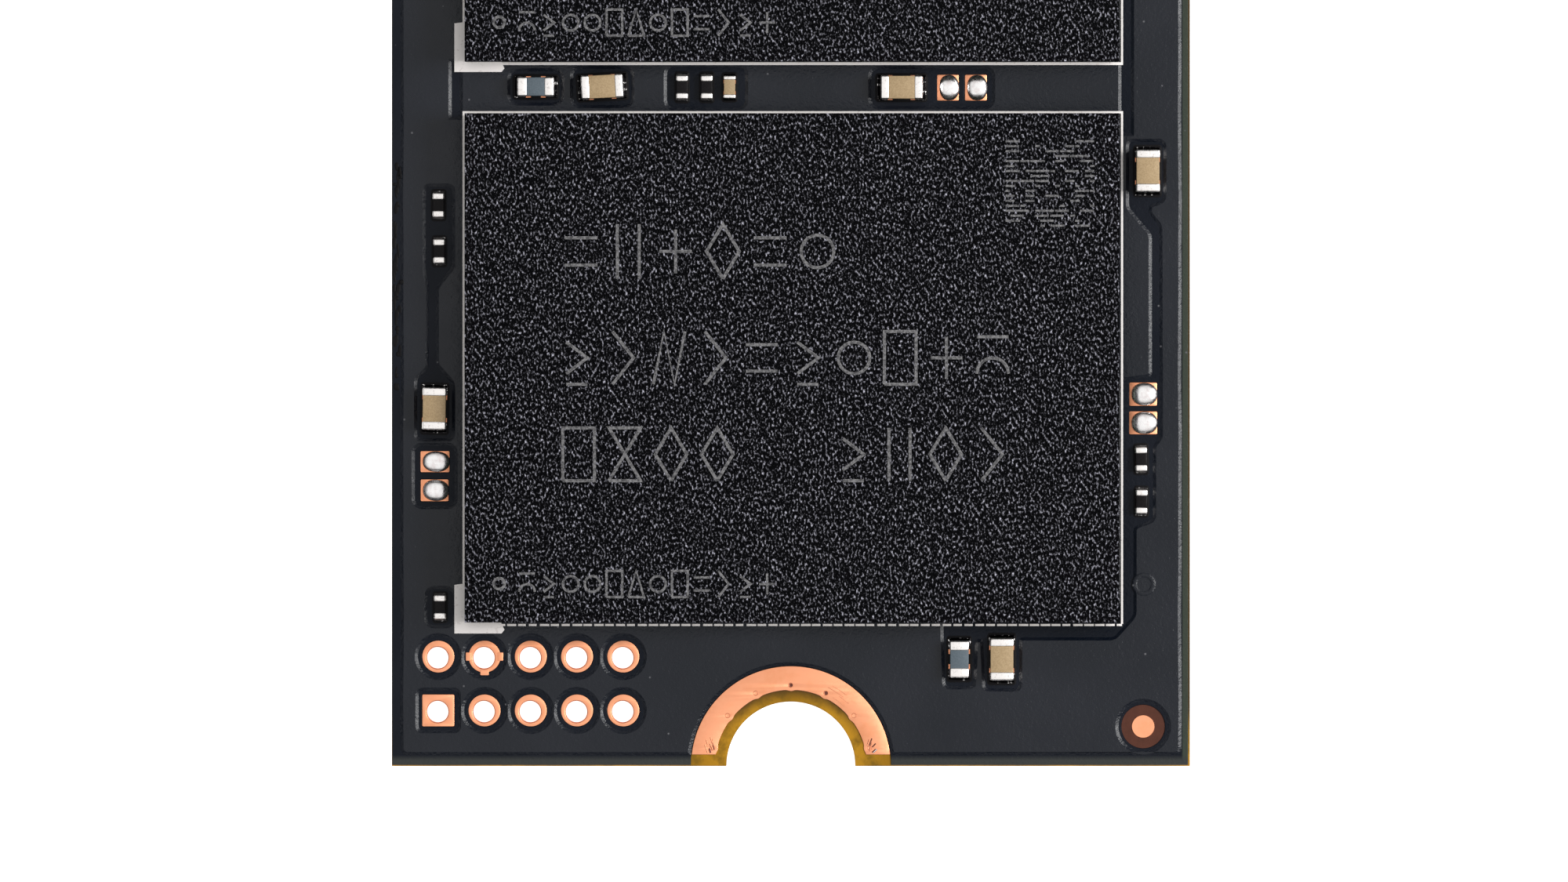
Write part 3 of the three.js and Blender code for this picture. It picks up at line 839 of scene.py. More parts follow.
def add_masks():
    """The mask on each face, open at the seat, header and plug, and above at fiducials and bare pads too."""
    pad_r = HEADER_PAD_R + MASK_MARGIN
    shared = [mask_outline()] + header_openings(pad_r, pad_r, 0.04, 2)
    above = [circle(x, from_seat(y), FIDUCIAL_OPEN_R) for x, y in FIDUCIALS]
    for x, y, width, length, _ in BARE_PADS.values():
        margin = 2 * MASK_MARGIN
        above.append(rounded_rectangle(x, from_seat(y), width + margin, length + margin, 0.04))
    upper = Sketch()
    upper.add(plate(shared + above, COPPER_FLOOR, MASK_TOP, MASK_LIP, flatten=0.5))
    upper.finish("solder_mask_upper", [LOW_MASK], ["solder_mask_top"])
    lower = Sketch()
    lower.add(plate(shared, LOWER_RELIEF, BOARD.low.z, 0.01))
    lower.finish("solder_mask_lower", [MASK], ["solder_mask_bottom"])


def plane_outline():
    """The edge of the copper plane under the mask: inset, round cornered and a little wavy."""
    side = HALF_WIDTH - PLANE_SIDE
    low = SEAT_END + PLANE_END
    corner = 0.2
    seat_r = SEAT_R + 0.03
    start = math.degrees(math.asin(PLANE_END / seat_r))
    high = MASK_END - 1.1
    shoulder = high - 0.6
    points = arc(-side + corner, low + corner, corner, 180, 270, 4)
    points += arc(0, SEAT_END, seat_r, 180 - start, start, 40)
    points += arc(side - corner, low + corner, corner, 270, 360, 4)
    waves = 60
    rise = (shoulder - low) / waves
    sway = [0.014 * math.sin(1.7 * i) * math.sin(0.6 * i) for i in range(waves)]
    points += [(side + sway[i], low + corner + 0.1 + i * rise) for i in range(waves)]
    points += [(side, shoulder), (side - 0.9, high), (-side + 0.9, high), (-side, shoulder)]
    points += [(-side - sway[i], low + corner + 0.1 + i * rise) for i in reversed(range(waves))]
    return points


# Clearings in the plane around groups of parts: middle x, distance from the seat, width and length
CLEARINGS = [
    (-2.34, 18.71, 2.15, 1.12),
    (-7.03, 18.72, 1.4, 0.86),
    (-5.2, 18.72, 1.6, 1.0),
    (3.88, 18.7, 3.33, 1.02),
    (-9.815, 8.0, 1.1, 1.66),
    (-9.67, 4.38, 0.7, 1.0),
    (0.9, 34.35, 18.8, 1.2),
    (8.8, 39.85, 3.4, 9.2),
    (-1.6, 45.9, 15.6, 0.84),
    (8.4, 53.0, 4.1, 14.6),
    (-10.1, 53.4, 0.86, 13.2),
    (0.4, 68.2, 20.2, 13.2),
]

# The clearings down each side of the board, which run on from one group of parts to the next
SIDE_CLEARINGS = [
    [
        (9.32, 17.2), (10.26, 17.2), (10.26, 15.6), (9.9, 15.48), (9.84, 15.26), (10.15, 14.88),
        (10.17, 9.04), (9.98, 8.85), (9.98, 6.8), (9.44, 6.6), (9.44, 4.15), (8.9, 3.55), (6.29, 3.55),
        (6.29, 2.14), (5.36, 2.14), (5.3, 3.5), (5.08, 3.5), (5.02, 2.2), (4.26, 2.2), (4.2, 3.96),
        (8.7, 3.96), (9.12, 4.4), (9.12, 10.62), (9.95, 10.72), (9.95, 14.66), (9.32, 15.4),
    ],
    [
        (-10.06, 15.97), (-9.34, 15.97), (-9.34, 13.76), (-9.79, 13.2), (-9.79, 11.05), (-9.34, 10.55),
        (-9.34, 9.03), (-10.3, 9.03), (-10.3, 10.67), (-9.98, 10.95), (-9.98, 13.3), (-10.06, 13.6),
    ],
]

# Gaps between one copper area and the next: middle x, width, and both ends' distance from the seat
CHANNELS = [(9.24, 0.26, 17.45, 33.5), (-9.24, 0.22, 17.9, 19.4)]


def softened(points, radius):
    """A closed outline with each corner cut to a short curve."""
    outline = []
    for i, point in enumerate(points):
        here = Vector(point)
        ends = []
        for other in (Vector(points[i - 1]), Vector(points[(i + 1) % len(points)])):
            way = other - here
            ends.append(here + way.normalized() * min(radius, way.length * 0.4))
        for t in (0, 0.33, 0.67, 1):
            curve = ends[0] * (1 - t) ** 2 + here * 2 * t * (1 - t) + ends[1] * t**2
            outline.append(tuple(curve))
    return outline


def add_plane_relief():
    """The mask where it rises over the copper plane, with clearings round pads and parts."""
    outlines = [plane_outline()] + header_openings(ANTIPAD_R, HEADER_PAD_R + 0.1, 0.1)
    outlines += [circle(x, from_seat(y), FIDUCIAL_OPEN_R + 0.08) for x, y in FIDUCIALS[:1]]
    outlines += [rounded_rectangle(x, from_seat(y), w, l, 0.2) for x, y, w, l in CLEARINGS]
    outlines += [softened([(x, from_seat(y)) for x, y in points], 0.12) for points in SIDE_CLEARINGS]
    for x, width, low, high in CHANNELS:
        outlines.append(rectangle(x - width / 2, from_seat(low), x + width / 2, from_seat(high)))
    sheet = plate(
        outlines, PLANE_TOP - 2 * PLANE_STEP, PLANE_TOP,
        bevel=PLANE_STEP / PLANE_SLOPE, flatten=PLANE_SLOPE, steps=0,
    )
    sketch = Sketch()
    sketch.add(sheet)
    sketch.finish("mask_over_copper_plane", [MASK], smooth=15)


def hang(sketch, solid, x=0.0, y=0.0):
    """Adds a solid to a sketch, upside down on the lower mask's face."""
    verts, faces = solid
    turned_over = placed(x, y, LOWER_RELIEF) @ Matrix.Scale(-1, 4, (0, 0, 1))
    sketch.add((verts, [face[::-1] for face in faces]), turned_over)


def via(sides, widen=0.0, flatten=1.0):
    """A tented via: a dimpled ring in the mask."""
    section = [
        (0.08, -0.01), (0.215, -0.01), (0.215, 0), (0.19, 0.01),
        (0.15, 0.016), (0.11, 0.012), (0.08, 0),
    ]
    return lathe([(r + widen, z * flatten) for r, z in section], sides)


def add_traces():
    """Low ridges where the plug's traces run under the mask, straight above and fanned out below."""
    upper = Sketch()
    for i in range(8):
        x = -4.6 + 0.7 * i
        line = [(x, from_seat(73.95)), (x, from_seat(74.9)), (x - 0.1, from_seat(75.1)), (x - 0.1, MASK_END)]
        upper.add(ridge(line, 0.12, 0.02, MASK_TOP - 0.001))
    upper.finish("traces_upper", [MASK])
    rng = random.Random(29)
    lower = Sketch()
    below_key = PLUG_END - KEY_DEPTH - 0.15
    for i in range(34):
        x = -9.0 + 0.5 * i
        start = below_key if abs(x - KEY_X) < KEY_R + 0.1 else MASK_END
        bend = 71.5 - 0.35 * abs(i - 17) - rng.uniform(0, 0.2)
        shift = 0.045 * (17 - i)
        end = (x + shift, from_seat(bend - rng.uniform(8, 30)))
        line = [(x, start), (x, from_seat(bend)), (x + shift, from_seat(bend - 1.2)), end]
        hang(lower, ridge(line, 0.14, LOWER_RELIEF * 0.7, 0))
        hang(lower, via(14, flatten=0.8), *end)
    lower.finish("traces_lower", [MASK])


def add_vias():
    """Tented vias on both faces."""
    upper = Sketch()
    upper.add(via(32, widen=0.11), placed(9.73, from_seat(5.01), PLANE_TOP))
    for x, y in [(-9.9, 36.5), (-9.9, 38.9), (-9.9, 41.6), (-9.9, 44.2), (-9.9, 63.7), (10.2, 61.4)]:
        upper.add(via(20), placed(x, from_seat(y), PLANE_TOP))
    upper.finish("vias_upper", [MASK])
    rng = random.Random(11)
    lower = Sketch()
    grid = 0.6
    taken = set()
    while len(taken) < 150:
        x = round(rng.uniform(-10.2, 10.2) / grid) * grid
        y = round(rng.uniform(4.8, 40) / grid) * grid
        if (x, y) not in taken:
            taken.add((x, y))
            hang(lower, via(14, flatten=0.8), x, from_seat(y))
    lower.finish("vias_lower", [MASK])


# ---- Bare copper ----


def on_seat(radius, angle):
    """The point at an angle round the screw seat, counted from its right foot."""
    return arc(0, SEAT_END, radius, angle, angle, 1)[0]


def seat_outline():
    """The copper half ring, with a small lobe on its inner edge at each stitching via."""
    gap = 0.32
    outer = math.degrees(math.asin(gap / SEAT_R))
    inner = math.degrees(math.asin(gap / SEAT_INNER_R))
    points = arc(0, SEAT_END, SEAT_R, outer, 180 - outer, 60)
    steps = 120
    lobe, spread = 0.035, 2.4  # in millimetres and in degrees
    for i in range(steps + 1):
        angle = 180 - inner - (180 - 2 * inner) * i / steps
        nearest = min(abs(angle - 90 - STITCH_PITCH * k) for k in STITCH_STEPS)
        points.append(on_seat(SEAT_INNER_R - lobe * math.exp(-((nearest / spread) ** 2)), angle))
    return points


def add_seat_ring():
    """The screw seat's upper copper, with stitching vias, scratches and scuffed feet."""
    vias = [on_seat(STITCH_R, 90 + STITCH_PITCH * k) for k in STITCH_STEPS]
    hole = 0.05
    rim = PAD_TOP - SOFT
    cup = [
        (hole, COPPER_FLOOR), (0.075, COPPER_FLOOR), (0.075, PAD_TOP + 0.001),
        (0.058, PAD_TOP + 0.003), (hole, rim),
    ]
    filling_and_hole_shade = [(0, COPPER_FLOOR), (hole + 0.002, COPPER_FLOOR), (hole + 0.002, rim), (0, rim - 0.006)]
    outlines = [seat_outline()] + [circle(x, y, hole, 14) for x, y in vias]
    sketch = Sketch()
    sketch.add(plate(outlines, COPPER_FLOOR, PAD_TOP, SOFT))
    for i, (x, y) in enumerate(vias):
        sketch.add(lathe(cup, 14), placed(x, y), 1)
        # Painted shade: the open vias get a dark burnt-copper disc that stands in for the shade of their
        # hole.
        sketch.add(lathe(filling_and_hole_shade, 14), placed(x, y), 3 if i in OPEN_STITCHES else 0)
    rng = random.Random(5)
    for _ in range(5):
        radius = rng.uniform(2.2, 2.5)
        start = rng.uniform(52, 66)
        scratch = arc(0, SEAT_END, radius, start, start - rng.uniform(5, 11), 4)
        sketch.add(ridge(scratch, 0.014, 0.004, PAD_TOP))
    for side in [-1] * 7 + [1] * 7:
        x = side * rng.uniform(2.1, 2.3)
        y = from_seat(rng.uniform(0.36, 0.62))
        scuff = [(x, y), (x + side * rng.uniform(0.02, 0.1), y + rng.uniform(0.08, 0.24))]
        width = rng.uniform(0.03, 0.06)
        sketch.add(ridge(scuff, width, 0.012, PAD_TOP - 0.002), None, rng.choice([1, 1, 1, 3, 2]))
    paints = [COPPER, WALL, SOLDER, STAIN_AND_HOLE_SHADE]
    sketch.finish("screw_seat_ring_upper", paints, ["screw_seat_ring_top"])


def add_lower_seat_ring():
    box = box_mm("screw_seat_ring_bottom")
    sketch = Sketch()
    sketch.add(plate([seat_outline()], box.low.z, box.high.z, SOFT))
    sketch.finish("screw_seat_ring_lower", [COPPER], ["screw_seat_ring_bottom"])


def add_header():
    """Ten plated holes with a pad on both faces, drilled a little off their pads' middles."""
    low = box_mm(HEADER_SQUARE).low.z
    high = PAD_TOP
    rim, hole, foil = HEADER_PAD_R, HEADER_HOLE_R, 0.024
    drilled = circle(*DRILL_SHIFT, hole + 0.02)
    wall = [
        (hole, low + 0.03), (hole + 0.008, low + 0.008), (hole + 0.028, low),
        (hole + 0.028, high), (hole + 0.008, high - 0.008), (hole, high - 0.03),
    ]
    spoke = rounded_rectangle(rim, 0, 0.15, 0.23, 0.02, 2)
    for node in HEADER_NODES:
        square = node == HEADER_SQUARE
        pad = rounded_rectangle(0, 0, 2 * rim, 2 * rim, 0.03, 2) if square else circle(0, 0, rim)
        x, y, _ = box_mm(node).centre
        sketch = Sketch()
        for bottom in (low, high - foil):
            sketch.add(plate([pad, drilled], bottom, bottom + foil, SOFT), placed(x, y))
        sketch.add(lathe(wall, 48), placed(x + DRILL_SHIFT[0], y + DRILL_SHIFT[1]), 1)
        for angle in (0, 180, 270) if node == HEADER_SPOKED else ():
            sketch.add(plate([spoke], high - foil, MASK_TOP + 0.006, SOFT), placed(x, y, 0, angle))
        sketch.finish(f"{node}_plated", [COPPER, WALL], [node])


def add_edge_residue():
    """Black smears of router dust stuck along the left side."""
    rng = random.Random(17)
    sketch = Sketch()
    for _ in range(46):
        x = -HALF_WIDTH + 0.06 + abs(rng.gauss(0, 0.1))
        y = from_seat(rng.uniform(10.4, 16.6))
        z = MASK_TOP if x < PLANE_SIDE - HALF_WIDTH else PLANE_TOP
        speck = dome(rng.uniform(0.05, 0.13), rng.uniform(0.08, 0.42), 0.012, rings=3, sides=12)
        sketch.add(speck, placed(x, y, z, rng.uniform(-12, 12)))
    sketch.finish("edge_residue", [SHADE_AND_DUST])


def add_fiducials():
    """Round copper dots in round openings of the mask."""
    under, floor = COPPER_FLOOR - 0.01, COPPER_FLOOR + 0.004
    opening = [(0, under), (FIDUCIAL_OPEN_R, under), (FIDUCIAL_OPEN_R, floor), (0, floor)]
    r, soft = FIDUCIAL_DOT_R, 0.008
    dot = [(0, COPPER_FLOOR), (r, COPPER_FLOOR), (r, PAD_TOP - soft), (r - soft, PAD_TOP), (0, PAD_TOP)]
    for i, (x, y) in enumerate(FIDUCIALS, 1):
        sketch = Sketch()
        sketch.add(lathe(opening, 48), placed(x, from_seat(y)), 1)
        sketch.add(lathe(dot, 48), placed(x, from_seat(y)))
        sketch.finish(f"fiducial_{i}", [COPPER, OPENING_FLOOR])


def add_bare_pads():
    """Square copper pads with a dome of solder that leaves their corners bare."""
    rng = random.Random(8)
    for name, (x, y, width, length, lean) in BARE_PADS.items():
        pad = rounded_rectangle(0, 0, width, length, 0.03, 2)
        sketch = Sketch()
        sketch.add(plate([pad], COPPER_FLOOR, PAD_TOP, SOFT), placed(x, from_seat(y)))
        bulge = dome(width * 0.94, length * 0.98, rng.uniform(0.13, 0.16), 2.35, lean=lean * 0.6)
        sketch.add(bulge, placed(x + 0.035, from_seat(y), PAD_TOP - 0.003, rng.uniform(-4, 4)), 1)
        sketch.finish(name, [COPPER, SOLDER])


# ---- Chip components ----


def fillet(cap_width, pad_width, reach, height):
    """Solder that climbs from a pad's end up a chip's end face, which is at x = 0."""
    across, along = 10, 8
    rings = []
    for v in (j / along for j in range(along + 1)):
        half = (cap_width * (1 - v) + pad_width * v) / 2
        top = []
        for u in (2 * i / across - 1 for i in range(across + 1)):
            fall = (1 - v) ** 1.7 * (1 - 0.35 * abs(u) ** 3)
            top.append((reach * v * (1 - 0.22 * u * u), u * half, 0.02 + height * fall))
        rings.append(top + [(x, y, 0) for x, y, _ in reversed(top)])
    return tube(rings)


def end_cap(length, width, height, bow):
    """A metal end with soft edges, whose inner edge at x = 0 is bowed towards the chip's middle."""
    soft = min(0.05, length * 0.24)
    verts, faces = block(length, width, height, soft, 3)
    shaped = []
    for x, y, z in verts:
        inner = 0.5 - x / length
        shaped.append((x + length / 2 + bow * inner * (2 * y / width) ** 2, y, z))
    return shaped, faces


def add_chip(name, node, size, body, at):
    """A chip component lying along X: its body, two metal ends, solder and pads."""
    length, width, height, cap, pad_reach, pad_side = CHIP_SIZES[size]
    pad_width = width + 2 * pad_side
    pad_high = PAD_TOP - COPPER_FLOOR + 0.016
    proud = 0.014
    core = block(length - cap, width - 2 * proud, height - 2 * proud, min(0.03, width * 0.07))
    metal = end_cap(cap, width, height, 0.03)
    climb = fillet(width * 0.97, pad_width, pad_reach, height * 0.7)
    climb_paint = 1 if size == "film" else 2
    pad = block(cap + 0.09, pad_width, pad_high, SOFT, 1)
    skirt = block(pad_reach + cap * 0.8, pad_width + 0.015, pad_high + 0.012, 0.012)
    sketch = Sketch()
    sketch.add(core, at @ placed(0, 0, MASK_TOP + proud))
    for side, turn in ((-1, 180), (1, 0)):
        end = side * length / 2
        sketch.add(metal, at @ placed(end - side * cap, 0, MASK_TOP, turn), 1)
        sketch.add(climb, at @ placed(end - side * 0.012, 0, MASK_TOP - 0.004, turn), climb_paint)
        sketch.add(pad, at @ placed(end - side * (cap / 2 + 0.03), 0, COPPER_FLOOR), 3)
        sketch.add(skirt, at @ placed(end + side * (pad_reach / 2 - cap * 0.4), 0, COPPER_FLOOR), 2)
    # Painted shade: a near-black sheet round the pads stands in for the shade round the chip.
    margin = 2 * OPENING_MARGIN
    opening = rounded_rectangle(0, 0, length + 2 * pad_reach + margin, pad_width + margin, 0.09)
    sketch.add(plate([opening], MASK_TOP - 0.01, MASK_TOP + 0.004, 0.003), at, 4)
    sketch.finish(name, [body, TIN, FILLET, COPPER, SHADE_AND_DUST], [node] if node else [])


def add_chips():
    for node, (size, body, angle) in CAD_CHIPS.items():
        x, y, _ = box_mm(node).centre
        add_chip(f"{node}_soldered", node, size, body, placed(x, y, 0, angle))
    number = 0
    for size, body, angle, (x, y), (dx, dy), count in CHIP_ROWS:
        for i in range(count):
            number += 1
            at = placed(x + i * dx, from_seat(y + i * dy), 0, angle)
            add_chip(f"small_chip_{number:03d}", None, size, body, at)


# ---- Packages ----


def add_substrate(name):
    """A package's small circuit board on its grid of solder balls."""
    node = f"{name}_substrate"
    box = box_mm(node)
    slab, pitch, margin = 0.18, 1.0, 1.2
    slab_low = box_mm(f"{name}_mould_cap").low.z - slab
    gap = slab_low - MASK_TOP
    r, neck = gap * 0.66, gap * 0.66 * 0.72
    ball = [
        (0, 0), (neck, 0), (r, gap * 0.3), (r * 1.04, gap * 0.5),
        (r, gap * 0.7), (neck, gap), (0, gap),
    ]
    sketch = Sketch()
    sketch.add(block(box.size.x, box.size.y, slab, 0.012, 1), placed(box.centre.x, box.centre.y, slab_low))
    columns = int((box.size.x - margin) / pitch)
    rows = int((box.size.y - margin) / pitch)
    for i in range(columns + 1):
        for j in range(rows + 1):
            x = box.centre.x + (i - columns / 2) * pitch
            y = box.centre.y + (j - rows / 2) * pitch
            sketch.add(lathe(ball, 8), placed(x, y, MASK_TOP), 1)
    sketch.finish(f"{node}_and_balls", [SUBSTRATE, SOLDER], [node])


# Engraved marks that spell nothing, each as lines in a box 0.6 wide and 1 high
MARKS = [
    [[(0, 0), (0.6, 0), (0.6, 1), (0, 1), (0, 0)]],
    [[(0, 0), (0.3, 1), (0.6, 0), (0, 0)]],
    [[(0.3, 0), (0.6, 0.5), (0.3, 1), (0, 0.5), (0.3, 0)]],
    [[(0.3, 0.1), (0.3, 0.9)], [(0, 0.5), (0.6, 0.5)]],
    [[(0.1, 0), (0.5, 0.5), (0.1, 1)]],
    [[(0.1, 0), (0.1, 1)], [(0.5, 0), (0.5, 1)]],
    [[(0, 0.25), (0.6, 0.25)], [(0, 0.75), (0.6, 0.75)]],
    [[(0, 0), (0.6, 1), (0, 1), (0.6, 0), (0, 0)]],
    [[(0, 0), (0.2, 1), (0.4, 0), (0.6, 1)]],
    [arc(0.3, 0.5, 0.3, 0, 360, 20)],
    [arc(0.3, 0.2, 0.3, 0, 180, 10), [(0, 0.9), (0.6, 0.9)]],
    [[(0.1, 0.2), (0.5, 0.5), (0.1, 0.8)], [(0.1, 0), (0.5, 0)]],
]

# A flash package's rows of marks: left and foot from its middle, height, pitch, count and stroke
FLASH_ROWS = [
    (-6.25, 2.45, 1.5, 1.3, 6, 0.085),
    (-6.35, -0.45, 1.45, 1.27, 10, 0.085),
    (-6.3, -3.1, 1.45, 1.27, 4, 0.085),
    (1.25, -3.1, 1.45, 1.27, 4, 0.085),
    (-7.5, -6.3, 0.72, 0.6, 12, 0.065),
]


def engrave(sketch, points, stroke, z, closed=False):
    sketch.add(ridge(points, stroke, MARK_DEPTH, z, closed, (0.4, 1.0, 0.4)))


def mark_row(sketch, rng, x, y, z, height, pitch, count, stroke):
    """A row of engraved marks starting at x, with y at its foot."""
    for i in range(count):
        for line in rng.choice(MARKS):
            points = [(x + i * pitch + px * height, y + py * height) for px, py in line]
            engrave(sketch, points, stroke, z)


def mark_code(sketch, rng, x, y, z, side, cells):
    """A square patch of short dashes centred on x and y."""
    cell = side / cells
    for row in range(cells):
        column = 0
        while column < cells:
            run = rng.randint(1, 3)
            if rng.random() < 0.42:
                left = x - side / 2 + column * cell
                right = left + min(run, cells - column) * cell * 0.9
                level = y - side / 2 + (row + 0.5) * cell
                engrave(sketch, [(left, level), (right, level)], cell * 0.42, z)
            column += run


def add_flash_marks(name, seed):
    """Rows of marks, a patch of dashes and the pin 1 ring on a flash package."""
    box = box_mm(f"{name}_mould_cap")
    x, y = box.centre.xy
    z = box.high.z
    rng = random.Random(seed)
    sketch = Sketch()
    for left, foot, height, pitch, count, stroke in FLASH_ROWS:
        mark_row(sketch, rng, x + left, y + foot, z, height, pitch, count, stroke)
    mark_code(sketch, rng, x + 7.1, y + 5.07, z, 2.46, 18)
    engrave(sketch, circle(x - 8.05, y - 5.93, 0.15, 20), 0.075, z, closed=True)
    sketch.finish(f"{name}_marks", [LASER])


def add_block_marks(node, seed, rows, height, pitch, stroke):
    """Centred rows of marks on any flat-topped package, with a pin 1 dot in its corner."""
    box = box_mm(node)
    rng = random.Random(seed)
    sketch = Sketch()
    for i, count in enumerate(rows):
        left = box.centre.x - count * pitch / 2
        foot = box.centre.y + (len(rows) / 2 - i - 1) * height * 1.9 + height * 0.45
        mark_row(sketch, rng, left, foot, box.high.z, height, pitch, count, stroke)
    corner = min(box.size.xy) * 0.12
    dot = [(0, 0), (corner * 0.4, 0), (corner * 0.4, MARK_DEPTH), (0, MARK_DEPTH)]
    sketch.add(lathe(dot, 20), placed(box.low.x + corner, box.low.y + corner, box.high.z))
    sketch.finish(f"{node}_marks", [LASER])


def add_silkscreen(name, starved):
    """A printed outline round a package, dashed below where its ink is starved, and its corner mark."""
    box = box_mm(f"{name}_mould_cap")
    left, right = box.low.x - 0.05, box.high.x + 0.095
    bottom, top = box.low.y - (0.08 if starved else 0.03), box.high.y + 0.05
    line = 0.03  # half of its width
    strokes = [rectangle(x - line, bottom + line, x + line, top - line) for x in (left, right)]
    strokes.append(rectangle(left - line, top - line, right + line, top + line))
    if starved:
        dash = 0.3
        x = left
        rng = random.Random(3)
        while x < right:
            end = min(x + dash * rng.uniform(0.7, 0.9), right)
            strokes.append(rectangle(x, bottom - line, end, bottom + line))
            x += dash
    else:
        strokes.append(rectangle(left - line, bottom - line * 1.6, right + line, bottom + line))
    arm, thick = 1.38, 0.32
    x, y = left - 0.255, bottom - (0.235 if starved else 0.24)
    mark = [
        (x, y), (x + arm - 0.08, y), (x + arm, y + 0.1), (x + arm - 0.1, y + thick),
        (x + thick, y + thick), (x + thick, y + arm), (x, y + arm - 0.04),
    ]
    sketch = Sketch()
    for stroke in strokes:
        sketch.add(plate([stroke], PLANE_TOP, PLANE_TOP + SILK, 0.003))
    sketch.add(plate([mark], PLANE_TOP, PLANE_TOP + MARK_INK, 0.003))
    sketch.finish(f"{name}_silkscreen", [INK])


# ---- Power parts and the rest of the packages ----


def add_inductor(node):
    """A pressed powder block with a tinned foot folded up each end."""
    box = box_mm(node)
    x, y, _ = box.centre
    width, length, height = box.size
    low = box.low.z
    sketch = Sketch()
    sketch.add(block(width - 0.04, length - 0.12, height - 0.05, 0.12, 3), placed(x, y, low + 0.05))
    for side in (-1, 1):
        wall, foot = y + side * (length / 2 - 0.03), y + side * (length / 2 - 0.3)
        sketch.add(block(width * 0.62, 0.07, height * 0.55), placed(x, wall, low), 1)
        sketch.add(block(width * 0.72, 0.5, 0.07), placed(x, foot, low), 1)
    dot = [(0, 0), (0.14, 0), (0.14, 0.008), (0, 0.008)]
    sketch.add(lathe(dot, 20), placed(box.low.x + 0.5, box.high.y - 0.5, box.high.z - 0.001), 2)
    sketch.finish(f"{node}_pressed", [FERRITE, TIN, INK], [node])


def add_flat_package(node, leads):
    """A leadless package: a sawn black body with tinned leads low on two sides, or on all four if square."""
    box = box_mm(node)
    x, y, _ = box.centre
    width, length, height = box.size
    low = box.low.z
    tip, lead_height = 0.1, 0.16
    pitch = (length - 0.5) / (leads - 1)
    sketch = Sketch()
    sketch.add(block(width, length, height - 0.01), placed(x, y, low + 0.01))
    for side in (-1, 1):
        for i in range(leads):
            along = (i - (leads - 1) / 2) * pitch
            lead = block(tip, pitch * 0.5, lead_height, 0.01, 1)
            sketch.add(lead, placed(x + side * (width / 2 - 0.03), y + along, low), 1)
            if abs(width - length) < 0.1:
                lead = block(pitch * 0.5, tip, lead_height, 0.01, 1)
                sketch.add(lead, placed(x + along, y + side * (length / 2 - 0.03), low), 1)
    sketch.finish(f"{node}_package", [MOULD, TIN], [node])


def add_crystal():
    """A ceramic tub with a nickel lid brazed on."""
    box = box_mm("clock_crystal")
    width, length, height = box.size
    tub = 0.36
    tiers = [
        (block(width, length, tub, 0.05), 0.0, 0),
        (block(width - 0.14, length - 0.14, 0.06), tub - 0.03, 1),
        (block(width - 0.26, length - 0.26, height - tub, 0.05, 3), tub, 1),
    ]
    sketch = Sketch()
    for solid, rise, paint in tiers:
        sketch.add(solid, placed(box.centre.x, box.centre.y, box.low.z + rise), paint)
    sketch.finish("clock_crystal_can", [WHITE_CERAMIC, LID], ["clock_crystal"])


# ---- Edge plug ----


def contact_xs(node):
    """The middle of each contact of a CAD row."""
    box = box_mm(node)
    count = round((box.size.x - CONTACT_WIDTH) / CONTACT_PITCH) + 1
    return [box.low.x + CONTACT_WIDTH / 2 + CONTACT_PITCH * i for i in range(count)]


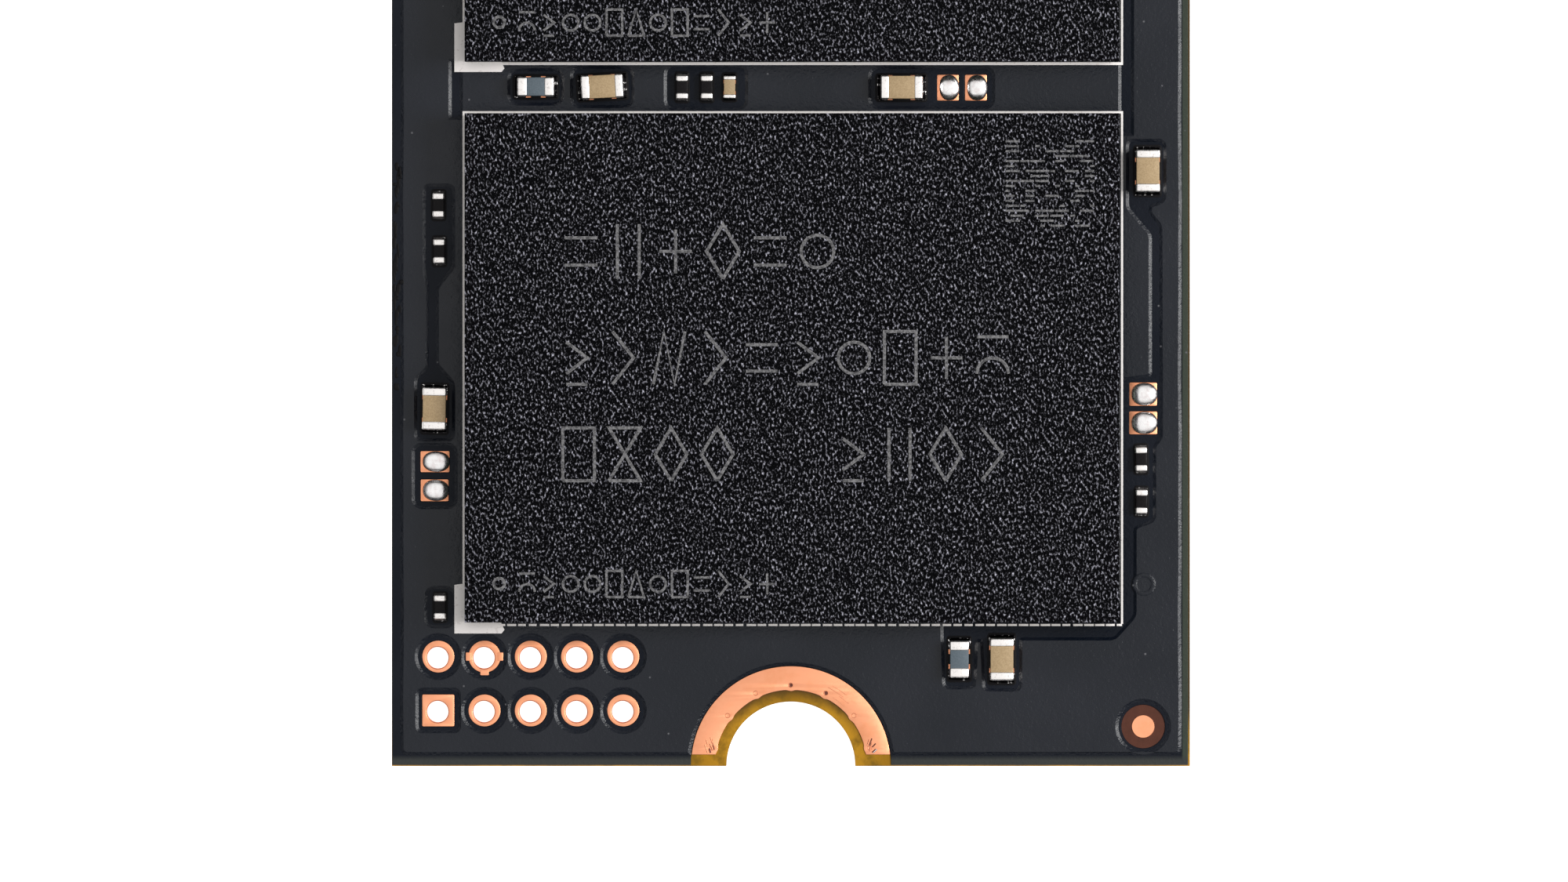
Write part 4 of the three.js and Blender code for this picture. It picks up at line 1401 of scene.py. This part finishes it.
def add_contacts(name, face, low, high):
    """Separate gold contacts with rounded tips, each with the trace that feeds it."""
    nodes = [f"edge_contacts_{face}_{part}" for part in ("long", "short")]
    tip = box_mm(nodes[0]).high.y
    back = MASK_END + 0.5
    trace_end = MASK_END - 0.1
    half, trace, tip_r = CONTACT_WIDTH / 2, 0.08, 0.06
    wiped = high if high > BOARD.centre.z else low
    sketch = Sketch()
    rng = random.Random(21)
    for x in contact_xs(nodes[0]) + contact_xs(nodes[1]):
        finger = arc(x + half - tip_r, tip - tip_r, tip_r, 0, 90, 3)
        finger += arc(x - half + tip_r, tip - tip_r, tip_r, 90, 180, 3)
        finger += [(x - half, back), (x - trace, back - 0.14), (x - trace, trace_end)]
        finger += [(x + trace, trace_end), (x + trace, back - 0.14), (x + half, back)]
        sketch.add(plate([finger], low, high, SOFT))
        wipe = x + rng.uniform(-0.06, 0.06)
        sketch.add(ridge([(wipe, tip - 0.5), (wipe, tip - 1.9)], 0.02, 0.0015, wiped - 0.0005))
    sketch.finish(name, [GOLD], nodes)


# ---- Assembly ----


def paint_kept_nodes():
    """Materials for the CAD solids that stay as they are."""
    kept = {"board_laminate": LAMINATE}
    for name in PACKAGES:
        kept[f"{name}_mould_cap"] = MOULD
        kept[f"{name}_die_stack"] = SILICON
    for node, material in kept.items():
        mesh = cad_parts[node].data
        mesh.materials.clear()
        mesh.materials.append(material)


paint_kept_nodes()
add_masks()
add_plane_relief()
add_traces()
add_vias()
add_seat_ring()
add_lower_seat_ring()
add_header()
add_fiducials()
add_edge_residue()
add_bare_pads()
add_chips()
for package in PACKAGES:
    add_substrate(package)
add_flash_marks("flash_1", 41)
add_flash_marks("flash_2", 41)
add_block_marks("cache_memory_mould_cap", 52, [6, 7], 1.3, 1.25, 0.09)
add_block_marks("controller_mould_cap", 63, [6, 8, 5], 1.45, 1.4, 0.1)
for package in PACKAGES:
    add_silkscreen(package, starved=package == "flash_1")
for number in range(1, 5):
    add_inductor(f"power_inductor_{number}")
add_flat_package("power_manager", 8)
add_flat_package("boot_memory", 4)
add_flat_package("load_switch", 4)
add_block_marks("power_manager", 74, [4, 5], 0.62, 0.6, 0.04)
add_block_marks("boot_memory", 75, [2, 2], 0.4, 0.42, 0.03)
add_crystal()
add_contacts("contacts_upper", "top", COPPER_FLOOR, PAD_TOP)
lower_row = box_mm("edge_contacts_bottom_long")
add_contacts("contacts_lower", "bottom", lower_row.low.z, lower_row.high.z)
